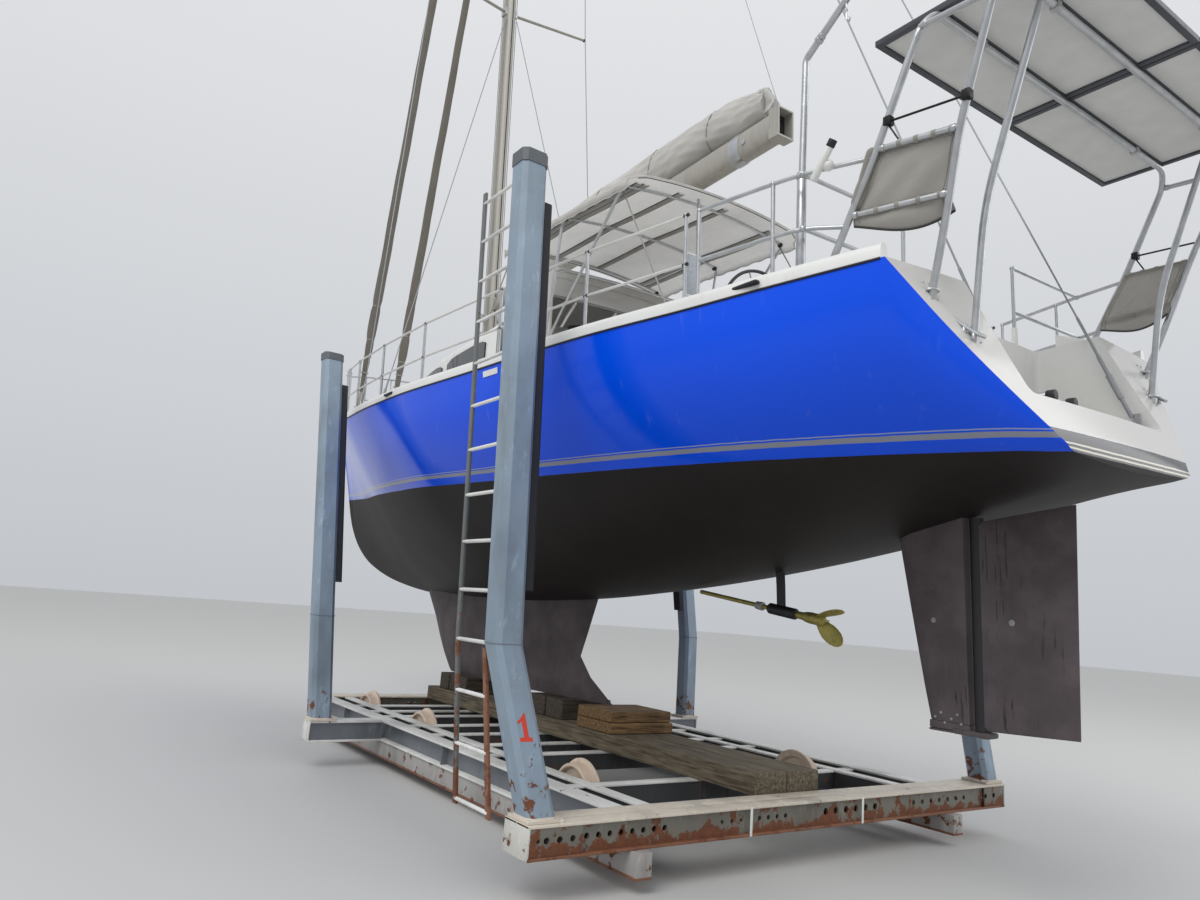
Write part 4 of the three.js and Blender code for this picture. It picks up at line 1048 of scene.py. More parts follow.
def post_ring(middle, side, grow=0.0):
    """Square with cut corners round the middle line of a post."""
    half = POST_HALF + grow
    cut = half * 0.34
    row = [(-half, cut - half), (cut - half, -half), (half - cut, -half), (half, cut - half),
        (half, half - cut), (half - cut, half), (cut - half, half), (-half, half - cut)]
    return [(middle[0] + x, side * middle[1] + y, middle[2]) for x, y in row]


class YACHT_OT_posts(bpy.types.Operator):
    """Adds the cradle's four posts with their pads, and the ladder"""
    bl_idname = "yacht.posts"
    bl_label = "Posts"

    def execute(self, context):
        for place, (foot, knee, top) in POSTS.items():
            for side, hand in SIDES:
                bm = bmesh.new()
                base = Vector(foot)
                rings = [post_ring(base, side), post_ring(between(foot, knee, 0.985),
                    side), post_ring(between(knee, top, 0.004), side),
                    post_ring(between(knee, top, 0.994), side)]
                skin(bm, rings)
                bead = [Vector(p) for p in post_ring(knee, side, 0.001)]
                paint(tube(bm, bead + bead[:1], 0.005, 6, capped=False), 2)
                cap = between(knee, top, 0.970)
                paint(skin(bm,
                    [post_ring(cap, side, 0.006), post_ring(Vector(top) - up_by(0.001), side,
                    0.006)]), 3)
                y0, y1 = y_span(side, foot[1] - 0.130, foot[1] + 0.112)
                paint(block(bm, (foot[0] - 0.115, y0, 0.4205), (foot[0] + 0.115, y1, 0.442),
                    0.003), 1)
                weld = [Vector(p) for p in post_ring((foot[0], foot[1], 0.443), side, 0.002)]
                paint(tube(bm, weld + weld[:1], 0.006, 6, capped=False), 1)
                piece(f"post_steel_{hand}_{place}", bm, "post cream weld lid", SLIP,
                    replaces=f"post_{hand}_{place}", smooth=20, bevel=0.004)
                bm = bmesh.new()
                rings = []
                for z in (1.690, top[2] - 0.330):
                    middle = between(knee, top, (z - knee[2]) / (top[2] - knee[2]))
                    face = middle.y - 0.0955
                    rings.append([(middle.x + a, side * (face - b), z) for a,
                        b in ((-0.060, 0), (0.060, 0), (0.060, 0.055), (0.045, 0.069),
                        (-0.045, 0.069), (-0.060, 0.055))])
                skin(bm, rings)
                piece(f"pad_strip_{hand}_{place}", bm, "pad", SLIP,
                    replaces=f"pad_{hand}_{place}", bevel=0.006)
        knee, foot = Vector(POSTS["aft"][1]), Vector(POSTS["aft"][0])
        rise = (knee - foot).normalized()
        bm = bmesh.new()
        at = between(foot, knee, 0.43) + Vector((-0.0952, 0.02, 0))
        plate(bm, [at + rise * z * 1.1 + Vector((0, -y * 1.1, 0)) for y, z in NUMERAL],
            (-0.0006, 0, 0))
        piece("painted_number", bm, "number", SLIP)
        bm = bmesh.new()
        outer = [(0.700, 0.400), (0.890, 1.370), (1.185, 4.560)]
        inner = [(0.280, 0.400), (0.512, 1.330)]
        for line in (outer, inner):
            outline = [(x - 0.022, 2.451, z) for x, z in line] + [(x + 0.022, 2.451, z) for x,
                z in reversed(line)]
            paint(plate(bm, outline, (0, 0.018, 0), 0.002), 2 if line is inner else 0)
        for i in range(14):
            z = 0.430 + 0.311 * i
            row = outer[:2] if z < 1.37 else outer[1:]
            end = row[0][0] + (row[1][0] - row[0][0]) * (z - row[0][1]) / (row[1][1] - row[0][1])
            if z < 1.31:
                start = 0.280 + 0.232 * (z - 0.4) / 0.93
            else:
                start = 0.400 + 0.150 * (z - 1.37) / 3.23 + 0.0965
            paint(tube(bm, [(start, 2.46, z), (end, 2.46, z)], 0.0125, 10), 1)
        piece("ladder_steel", bm, "ladder light rust", SLIP, replaces="ladder")
        return {"FINISHED"}


class YACHT_OT_timbers(bpy.types.Operator):
    """Adds the timbers and the keel blocks"""
    bl_idname = "yacht.timbers"
    bl_label = "Timbers"

    def execute(self, context):
        for side, hand in SIDES:
            bm = bmesh.new()
            y0, y1 = y_span(side, 0.003, 0.340)
            verts = block(bm, (0.300, y0, 0.4045), (5.828, y1, 0.558))
            bmesh.ops.subdivide_edges(bm,
                edges=[e for e in edges_among(verts) if e.calc_length() > 1], cuts=36)
            for v in bm.verts:
                wave = sin(v.co.x * 5.1 + side) * 0.5 + sin(v.co.x * 13.7 + v.co.y * 9)
                if 0.31 < v.co.x < 5.8 and v.co.z > 0.5:
                    v.co.z -= 0.0015 * (1 + wave / 1.5)
                    v.co.y -= side * 0.002 * (1 + wave / 1.5) if abs(v.co.y) > 0.2 else 0
            piece(f"timber_{hand}", bm, "timber", SLIP, replaces=f"keel_timber_{hand}", bevel=0.009)
        for node, layers in BLOCKS:
            bm = bmesh.new()
            for aft, fore, half, low, high in layers:
                verts = block(bm, (aft, -half, low), (fore, half, high))
                paint(verts, 0 if node.endswith("aft") else 1)
            piece(node.replace("keel_block", "block"), bm, "block old_block", SLIP,
                replaces=node, bevel=0.01)
        return {"FINISHED"}


# Underwater gear

KEEL_ROWS = (
    # height, leading edge, trailing edge, thickness
    (1.900, 6.880, 2.700, 0.330), (1.640, 6.640, 2.810, 0.330), (1.150, 6.260, 3.050, 0.330),
    (0.960, 6.100, 2.860, 0.350), (0.745, 5.900, 2.480, 0.300),
)
SHAFT_AFT = Vector((-0.060, 0, 1.650))
SHAFT_WAY = (Vector((1.380, 0, 1.842)) - SHAFT_AFT).normalized()
STOCK = -1.235
BLADES = (
    # degrees round the shaft, opened from the shaft, and about its own length
    (0, 20, 12), (160, 36, -50),
)


def foil(z, fore, aft, thick, steps=18):
    """Ring of a foil section between a leading and a trailing edge."""
    ring = []
    for sign in (1, -1):
        for i in range(steps + 1):
            t = (1 - cos(pi * (i if sign > 0 else steps - i) / steps)) / 2
            half = thick * 2.6 * sqrt(t) * (1 - t) * 0.5 + 0.003
            ring.append((fore - (fore - aft) * t, sign * half, z))
    return ring


class YACHT_OT_underwater(bpy.types.Operator):
    """Adds the keel, skeg, rudder, propeller and their fittings"""
    bl_idname = "yacht.underwater"
    bl_label = "Underwater gear"

    def execute(self, context):
        looks = "bottom dark zinc seam"
        bm = bmesh.new()
        rows = [KEEL_ROWS[0], (1.400, 6.440, 2.930, 0.330), *KEEL_ROWS[2:4],
            (0.80, 5.955, 2.580, 0.325), KEEL_ROWS[4]]
        skin(bm, [foil(*row) for row in rows])
        paint(tube(bm, [(2.960, 0, 0.985), (2.785, 0, 0.748)], 0.006, 6), 3)
        piece("keel_shell", bm, looks, replaces="keel")
        bm = bmesh.new()
        rings = []
        for z, fore, thick in ((2.42, -0.644, 0.130), (1.80, -0.755, 0.115),
                (1.29, -0.850, 0.100), (1.10, -0.890, 0.088)):
            ring = []
            for sign in (1, -1):
                row = [(fore, 0.004), (fore - 0.02, 0.024), (fore - 0.06, 0.040),
                    (fore - 0.14, thick / 2), (-1.175, thick / 2)]
                ring += [(x, sign * y, z) for x, y in (row if sign > 0 else reversed(row))]
            rings.append(ring)
        skin(bm, rings)
        paint(block(bm, (-1.171, -0.040, 1.052), (-0.900, 0.040, 1.0995), 0.006), 0)
        for x, z in ((-0.945, 1.120), (-0.985, 1.150), (-1.055, 1.120), (-1.095, 1.150),
                (-1.010, 1.092), (-1.120, 1.096)):
            for side, _ in SIDES:
                paint(bolt(bm, (x, side * 0.0445, z), (0, side, 0), 0.009, 0.006), 2)
        paint(spun(bm, [(0, 0.012), (0.012, 0.011), (0.019, 0.005), (0.020, -0.004)],
            (-0.954, 0.050, 1.708), (0, 1, 0), 20), 2)
        skeg = piece("skeg_shell", bm, looks, replaces="skeg")
        bm = bmesh.new()
        drum(bm, (STOCK, 0, 0.9), (STOCK, 0, 2.9), 0.057, sides=24)
        carve(skeg, bm)
        bm = bmesh.new()
        block(bm, (STOCK - 0.07, -0.050, 1.035), (-1.06, 0.050, 1.069), 0.012)
        block(bm, (STOCK - 0.055, -0.040, 1.036), (-0.895, 0.040, 1.050), 0.006)
        paint(drum(bm, (STOCK, 0, 1.028), (STOCK, 0, 1.0365), 0.03, sides=20, edge=0.003), 2)
        piece("rudder_heel", bm, looks, slot="black", replaces="rudder_heel_fitting", smooth=35)
        bm = bmesh.new()
        top = [station(x)[4] - 0.035 for x in (STOCK, -1.835)]
        sections = []
        for share in (0.0, 0.02, 0.25, 0.5, 0.75, 0.98, 1.0):
            fore = between((STOCK, 0, 1.075), (STOCK, 0, top[0] - 0.010), share)
            aft = between((-1.800, 0, 1.100), (-1.835, 0, top[1] - 0.07), share)
            pinch = 0.6 if share in (0.0, 1.0) else 1.0
            ring = []
            for sign in (1, -1):
                row = [(0.0, 0.034), (0.25, 0.034), (0.6, 0.026), (0.93, 0.010), (1.0, 0.003)]
                ring += [between(fore, aft, t) + Vector((0, sign * h * pinch, 0)) for t,
                    h in (row if sign > 0 else reversed(row))]
            sections.append(ring)
        skin(bm, sections)
        paint(drum(bm, (STOCK, 0, 1.0705), (STOCK, 0, top[0] + 0.02), 0.045, sides=28), 1)
        for side in (1, -1):
            paint(spun(bm, [(0, 0.010), (0.012, 0.009), (0.019, 0.004), (0.020, -0.006)],
                (-1.452, side * 0.0295, 1.716), (0, side, 0), 18), 2)
        piece("rudder_blade", bm, looks, body="rudder", replaces="rudder")
        bm = bmesh.new()

        def on_shaft(distance):
            return SHAFT_AFT + SHAFT_WAY * distance

        drum(bm, on_shaft(0.06), on_shaft(1.35), 0.0175, sides=20)
        spun(bm, [(0, 0), (0.020, 0.003), (0.036, 0.014), (0.042, 0.035), (0.042, 0.13),
            (0.038, 0.17), (0.029, 0.205), (0.027, 0.25), (0, 0.255)], on_shaft(0.018),
            SHAFT_WAY, 28)
        turn = SHAFT_WAY.to_track_quat("X", "Z").to_matrix().to_4x4()
        for about, opened, twist in BLADES:
            rings = []
            for t in (0.0, 0.06, 0.15, 0.3, 0.45, 0.6, 0.75, 0.88, 0.96, 1.0):
                reach = 0.018 - 0.248 * t
                wide = 0.018 + 0.045 * sin(pi
                    * min(0.5, t * 0.9)) if t < 0.6 else 0.062 * sqrt(max(0.02,
                    1 - ((t - 0.58) / 0.42) ** 2))
                thick = 0.010 * (1 - t) + 0.0025
                skew = radians(18 * (t - 0.5))
                ring = []
                for k in range(16):
                    angle = tau * k / 16
                    across, deep = wide * cos(angle), thick * sin(angle) + 0.006 * cos(angle) ** 2
                    ring.append(Vector((reach, across * cos(skew) - deep * sin(skew),
                        across * sin(skew) + deep * cos(skew))))
                rings.append(ring)
            place = (Matrix.Translation(on_shaft(0.08)) @ turn @ Matrix.Rotation(radians(about),
                4, "X") @ Matrix.Translation((0, 0, 0.020)) @ Matrix.Rotation(radians(opened),
                4, "Y") @ Matrix.Rotation(radians(twist), 4, "X"))
            skin(bm, [[place @ p for p in ring] for ring in rings])
            for side in (-1, 1):
                drum(bm, place @ Vector((0, side * 0.012, 0)),
                    place @ Vector((0, side * 0.026, 0)), 0.013, sides=14, edge=0.002)
        drum(bm, on_shaft(0.02) + Vector((0, -0.043, 0)),
            on_shaft(0.02) + Vector((0, 0.043, 0)), 0.009, sides=12, edge=0.002)
        paint(drum(bm, on_shaft(0.63), on_shaft(0.70), 0.034, 0.030, 20, 0.006), 2)
        piece("propeller_blades", bm, "bronze dark zinc", body="propeller",
            replaces="propeller", smooth=40)
        bm = bmesh.new()
        spun(bm, [(0.0205, 0), (0.036, 0), (0.042, 0.01), (0.042, 0.26), (0.036, 0.27),
            (0.0205, 0.27), (0.0205, 0)], on_shaft(0.29), SHAFT_WAY, 24)
        rings = []
        for z, aft, fore in ((1.705, 0.330, 0.420), (1.9, 0.336, 0.428),
                (station(0.39)[4] - 0.0005, 0.342, 0.436)):
            rings.append([(aft, 0, z), (aft + 0.02, 0.009, z), ((aft + fore) / 2, 0.014, z),
                (fore - 0.012, 0.010, z), (fore, 0, z), (fore - 0.012, -0.010, z),
                ((aft + fore) / 2, -0.014, z), (aft + 0.02, -0.009, z)])
        skin(bm, rings)
        piece("shaft_strut", bm, "dark", replaces="shaft_bracket", smooth=40)
        return {"FINISHED"}


# Deck

HOUSE = (
    # x, half width at the deck, half width at the top, height of the top
    (3.000, 1.190, 1.020, 4.440), (4.600, 1.080, 0.900, 4.400), (5.900, 0.850, 0.680, 4.290),
    (6.700, 0.600, 0.440, 4.150), (7.100, 0.430, 0.290, 4.010),
)
COAMING = ((-0.300, 1.020, 0.130), (0.250, 1.080, 0.330), (2.999, 1.150, 0.440))
STANCHIONS = ((-0.400, 0.640), (0.500, 0.640), (1.600, 0.640), (3.000, 0.640), (4.200, 0.650),
    (5.400, 0.680), (6.600, 0.720), (7.800, 0.770), (8.978, 0.826))
WINDOWS = ((3.25, 4.25), (4.42, 5.22), (5.40, 5.86))


def house_row(x):
    """Half widths at the foot and the top of the coachroof, and the height of its top."""
    return [lined(HOUSE, x, column) for column in (1, 2, 3)]


def coaming_row(x):
    """Outer half width and top height of a coaming."""
    rows = [(x0, half, crown(*edge_at(x0)) + rise) for x0, half, rise in COAMING]
    i = 0 if x <= rows[1][0] else 1
    (x0, *low), (x1, *high) = rows[i], rows[i + 1]
    t = (x - x0) / (x1 - x0)
    return [a + (b - a) * t for a, b in zip(low, high)]


def deck_bolt_ring(bm, x, y, radius):
    """Four bolt heads round a foot on the deck."""
    for k in range(4):
        turn = tau * (k + 0.5) / 4
        spot = (x + radius * cos(turn), y + radius * sin(turn))
        bolt(bm, (*spot, deck_height(*spot) + 0.008), (0, 0, 1), 0.005, 0.003)


def cleat(bm, x, y, z, way=(1, 0, 0), size=0.11):
    """Mooring cleat: two feet and a pair of horns."""
    way = Vector(way).normalized()
    middle = Vector((x, y, z))
    for sign in (1, -1):
        foot = middle + way * sign * size * 0.28
        drum(bm, foot, foot + up_by(size * 0.36), size * 0.13, size * 0.09, 12, 0.003)
    horn = [middle + way * size * t + up_by(size * (0.42 + 0.10 * abs(t) ** 3)) for t in (-1,
        -0.6, -0.2, 0.2, 0.6, 1)]
    tube(bm, horn, size * 0.10, 10)


class YACHT_OT_deck(bpy.types.Operator):
    """Adds the toe rails, coachroof, coamings, hatches, windows and mooring gear"""
    bl_idname = "yacht.deck"
    bl_label = "Deck"

    def execute(self, context):
        aft, fore = -1.64, 11.03
        bm = bmesh.new()
        for side, _ in SIDES:
            rings = []
            for i in range(101):
                x = aft + (fore - aft) * i / 100
                edge, z = edge_at(x)
                y = max(edge - 0.006, 0.022)
                tall = 0.085 - 0.015 * max(0, (x - 9.5) / 1.6)
                rings.append([(x, side * a, b) for a,
                    b in ((y + 0.0062, z - 0.004), (y + 0.0060, z + tall * 0.55),
                    (y - 0.001, z + tall * 0.9), (y - 0.012, z + tall), (y - 0.034, z + tall),
                    (y - 0.044, z + tall * 0.85), (y - 0.052, z + 0.003), (y - 0.040, z + 0.002))])
            skin(bm, rings)
            line = [(x, side * (edge_at(x)[0] + 0.0025), edge_at(x)[1] - 0.004)
                for x in [aft + (fore - aft) * i / 60 for i in range(61)]]
            paint(tube(bm, line, 0.0075, 8), 1)
            for x in (-0.9, 1.1, 3.6, 7.2, 9.9):
                edge, z = edge_at(x)
                paint(block(bm, (x - 0.10, side * edge - 0.02, z + 0.028),
                    (x + 0.10, side * edge + 0.02, z + 0.052), 0.010, 3), 1)
        block(bm, (10.75, -0.11, 4.600), (11.06, 0.11, 4.642), 0.012)
        piece("bulwark", bm, "gelcoat dark", replaces="toe_rail", smooth=40)
        bm = bmesh.new()
        xs = [3.0 + 4.1 * i / 36 for i in range(37)]

        def house_at(u, v):
            x = 3.0 + 4.1 * u
            low, high, top = house_row(x)
            row = rounded([(x, low, deck_height(x, low) - 0.03), (x, low - 0.015, top - 0.11),
                (x, high, top - 0.015), (x, 0, top + 0.04)], 0.07, 4)
            line = row + [Vector((p.x, -p.y, p.z)) for p in reversed(row[:-1])]
            return line[round(v * (len(line) - 1))]

        surface(bm, len(xs) - 1, 22, house_at)
        bmesh.ops.holes_fill(bm, edges=[e for e in bm.edges if e.is_boundary], sides=0)
        piece("coachroof_shell", bm, "gelcoat", replaces="coachroof", smooth=50)
        bm = bmesh.new()
        for side, _ in SIDES:
            for a, b in WINDOWS:
                def window_at(u, v):
                    x = a + (b - a) * u
                    low, _, top = house_row(x)
                    pinch = 0.04 * (abs(2 * u - 1) ** 6)
                    foot, head = edge_at(x)[1] + 0.20 + pinch, top - 0.20 - pinch
                    z = foot + (head - foot) * v
                    share = (z - edge_at(x)[1] + 0.06) / (top - 0.05 - edge_at(x)[1])
                    return Vector((x, side * (low - 0.015 * share + 0.006), z))
                rim = surface(bm, 12, 4, window_at)
                thicken(bm, rim, 0.008)
                outline = rim_of(window_at, 12, 3)
                paint(tube(bm, outline + outline[:2], 0.007, 6, capped=False), 1)
            grab = []
            for i in range(8):
                x = 3.7 + 0.4 * i
                _, high, top = house_row(x)
                foot = Vector((x, side * (high - 0.12), top - 0.01))
                grab.append((x, foot.y, top + 0.062))
                paint(tube(bm, [foot, grab[-1]], 0.010, 8), 2)
            paint(tube(bm, grab, 0.0125, 10), 2)
        piece("cabin_windows", bm, "window dark teak", smooth=40)
        bm = bmesh.new()
        paint(block(bm, (6.0, -0.27, 4.150), (6.5, 0.27, 4.268), 0.03, 3), 1)
        block(bm, (6.02, -0.25, 4.262), (6.48, 0.25, 4.300), 0.018, 3)
        for y in (-0.16, 0.16):
            paint(block(bm, (6.44, y - 0.03, 4.285), (6.50, y + 0.03, 4.312), 0.006), 2)
        piece("hatch_fore", bm, "window gelcoat stainless", replaces="fore_hatch")
        bm = bmesh.new()
        block(bm, (3.30, -0.36, 4.43), (4.25, 0.36, 4.515), 0.03, 3)
        paint(block(bm, (3.002 - 0.03, -0.33, 3.75), (3.03, 0.33, 4.44), 0.010), 1)
        for i in range(3):
            paint(block(bm, (2.955, -0.30, 3.80 + 0.21 * i), (2.975, 0.30, 3.99 + 0.21 * i),
                0.006), 2)
        block(bm, (4.55, -0.22, 4.40), (4.98, 0.22, 4.485), 0.025, 3)
        paint(block(bm, (4.58, -0.19, 4.478), (4.95, 0.19, 4.506), 0.012, 3), 1)
        for x, y in ((7.6, 0.3), (7.6, -0.3), (6.75, 0.25), (6.75, -0.25)):
            base = deck_height(x, y) if x > 7 else house_row(x)[2] + 0.02
            paint(drum(bm, (x, y, base), (x, y, base + 0.10), 0.055, 0.05, 16, 0.01), 0)
            paint(ball(bm, (x - 0.03, y, base + 0.13), 0.07, (1.1, 0.8, 0.8), rows=8), 0)
        piece("deck_fittings", bm, "gelcoat window teak", smooth=40)
        for side, hand in SIDES:
            bm = bmesh.new()
            rings = []
            for i in range(25):
                x = -0.3 + 3.299 * i / 24
                outer, top = coaming_row(x)
                low = deck_height(x, outer) - 0.03
                row = rounded([(x, outer, low), (x, outer - 0.09, top), (x, 0.65, top),
                    (x, 0.62, low)], 0.05, 4)
                rings.append([(p.x, side * p.y, p.z) for p in row])
            skin(bm, rings)
            piece(f"coaming_shell_{hand}", bm, "gelcoat", replaces=f"coaming_{hand}", smooth=50)
        bm = bmesh.new()
        for side, _ in SIDES:
            for i in range(9):
                y0, y1 = y_span(side, 0.03 + 0.052 * i, 0.074 + 0.052 * i)
                paint(block(bm, (0.28, y0, 3.162), (2.82, y1, 3.182), 0.004, 1), 0)
            for i in range(5):
                y0, y1 = y_span(side, 0.49 + 0.026 * i, 0.512 + 0.026 * i)
                paint(block(bm, (0.30, y0, deck_height(1.5, 0.5) + 0.004),
                    (2.9, y1, deck_height(1.5, 0.5) + 0.020), 0.003, 1), 0)
        piece("cockpit_slats", bm, "teak")
        bm = bmesh.new()
        for side, _ in SIDES:
            for x, inset in ((3.8, 0.16), (9.3, 0.14), (-1.15, 0.16)):
                y = side * (edge_at(x)[0] - inset)
                cleat(bm, x, y, deck_height(x, y) + 0.001)
            y = side * 1.06
            cleat(bm, -1.86, y, deck_height(-1.86, y), (0.66, side * 0.35, 0.6), 0.10)
            for x, _ in STANCHIONS[:-1]:
                y = side * (edge_at(x)[0] - 0.09)
                z = deck_height(x, y)
                drum(bm, (x, y, z - 0.002), (x, y, z + 0.007), 0.038, sides=20, edge=0.002)
                drum(bm, (x, y, z + 0.005), (x, y, z + 0.06), 0.0175, 0.0155, 14, 0.002)
                deck_bolt_ring(bm, x, y, 0.027)
        piece("mooring_gear", bm, "stainless")
        return {"FINISHED"}


# Rails

GUARD_LINE = 0.0098
RAIL_HEIGHT = 0.64


def rail_spot(x, side, inset=0.09):
    """Foot of a stanchion on the deck."""
    y = side * (edge_at(x)[0] - inset)
    return Vector((x, y, deck_height(x, y)))


def raised(point, height):
    """The point a height above another."""
    return Vector(point) + up_by(height)


class YACHT_OT_rails(bpy.types.Operator):
    """Adds the guard rails, the pulpit and the stern rails"""
    bl_idname = "yacht.rails"
    bl_label = "Rails"

    def execute(self, context):
        sizes = context.scene.yacht_sizes
        bar, line = sizes.rail, GUARD_LINE
        looks = "stainless coated dark"
        for side, hand in SIDES:
            bm = bmesh.new()
            tops, mids = [], []
            for x, height in STANCHIONS:
                foot = rail_spot(x, side, 0.095 if x > 8.5 else 0.09)
                if x < 8.5:
                    tube(bm, [foot, raised(foot, height + 0.004)], bar, 12)
                    ball(bm, raised(foot, height + 0.004), bar * 1.15, rows=6)
                    for share in (1, 0.5):
                        at = raised(foot, height * share)
                        paint(drum(bm, at - Vector((0.02, 0, 0)), at + Vector((0.02, 0, 0)),
                            0.0120, sides=12), 2)
                tops.append(raised(foot, height))
                mids.append(raised(foot, height * 0.5))
            for run in (tops, mids):
                paint(tube(bm, run, line, 8), 1)
                paint(tube(bm,
                    [between(run[-2], run[-1], 0.86), between(run[-2], run[-1], 0.97)], 0.0125,
                    8), 0)
            piece(f"guard_rail_tubes_{hand}", bm, looks, replaces=f"guard_rail_{hand}")
            bm = bmesh.new()
            spots = [rail_spot(x, side) for x in (-0.5, -1.0)]
            turn = Vector((-1.18, side * 1.525, edge_at(-1.18)[1] + RAIL_HEIGHT))
            gate = Vector((-1.18, side * 0.62, turn.z))
            foot = Vector((-1.18, side * 0.62, deck_height(-1.18, 0.62)))
            ends = (Vector((-1.556, side * 1.4, 4.126)), Vector((-1.372, side * 1.4, 3.800)))
            for drop, end in zip((0, -0.32), ends):
                tube(bm, [raised(p, RAIL_HEIGHT + drop) for p in spots] + [raised(turn, drop),
                    end], bar, 12, bend=0.12)
                tube(bm, [raised(turn, drop), raised(gate, drop)], bar, 12)
                ball(bm, raised(turn, drop), bar * 1.5, rows=6)
            for base, top in [(p, raised(p, RAIL_HEIGHT)) for p in spots] + [(foot, gate)]:
                tube(bm, [base, top], bar, 12)
                ball(bm, top, bar * 1.4, rows=6)
                drum(bm, raised(base, -0.002), raised(base, 0.007), 0.038, sides=20, edge=0.002)
            paint(drum(bm, foot, raised(foot, 0.16), 0.021, 0.019, 14, 0.004), 1)
            piece(f"pushpit_tubes_{hand}", bm, "stainless gelcoat", replaces=f"pushpit_{hand}")
        bm = bmesh.new()
        path = []
        ends = ((9.0, 0.095, 0.828), (9.7, 0.095, 0.850), (10.35, 0.095, 0.865),
            (10.8, 0.040, 0.870))
        for side, _ in SIDES:
            tops = [Vector((x, side * (edge_at(x)[0] - inset), edge_at(x)[1] + high)) for x,
                inset, high in ends]
            path.append(tops)
            for (x, inset, high), top in zip(ends[:3], tops):
                y = side * max(edge_at(x)[0] - inset, 0.06)
                foot = Vector((x, y, deck_height(x, y)))
                tube(bm, [foot, top], bar, 12)
                drum(bm, raised(foot, -0.002), raised(foot, 0.007), 0.036, sides=20, edge=0.002)
            tube(bm, [(x, side * (edge_at(x)[0] - inset), edge_at(x)[1] + high * 0.52) for x,
                inset, high in ends[:3]], bar, 12)
        nose = Vector((10.93, 0, edge_at(10.9)[1] + 0.87))
        tube(bm, [*path[0], nose, *reversed(path[1])], bar, 12, bend=0.1)
        for x in (9.0, 9.7):
            for side, _ in SIDES:
                ball(bm, (x, side * (edge_at(x)[0] - 0.095),
                    edge_at(x)[1] + (0.828 if x == 9.0 else 0.85)), bar * 1.3, rows=6)
        piece("pulpit_tubes", bm, "stainless", replaces="pulpit")
        return {"FINISHED"}


# Rig

MAST = 5.450
SPREADERS = ((9.600, 1.150, 0.120), (14.900, 0.900, 0.100))
GOOSENECK = Vector((5.320, 0, 5.400))
BOOM_TIP = Vector((0.380, 0, 5.700))
ROLL_TIES = (0.055, 0.072, 0.09, 0.125, 0.17)
COVER = ((0.12, 0.240, 0.105), (0.35, 0.225, 0.120), (0.70, 0.218, 0.120), (0.86, 0.205, 0.115),
    (0.96, 0.150, 0.100))


def bundle_shape(rise):
    """Share of its width that the flaked sail has at a share of its height."""
    return (1 - 0.55 * rise ** 1.6) * (1.0 if rise < 0.86 else 1 - 0.35 * (rise - 0.86) / 0.14)


def oval(x, y, z, long, wide, sides=28, power=1.0):
    """Ring round an upright axis, squarer where the power is lower."""
    ring = []
    for k in range(sides):
        angle = tau * k / sides
        c, s = cos(angle), sin(angle)
        ring.append((x + long * copysign(abs(c) ** power, c), y + wide * copysign(abs(s) ** power,
            s), z))
    return ring


def boom_ring(t, long, wide):
    """Ring across the boom at a share of its length."""
    at = GOOSENECK.lerp(BOOM_TIP, t)
    return [(at.x, p[1], at.z + p[0]) for p in oval(0, 0, 0, long, wide, power=0.8)]


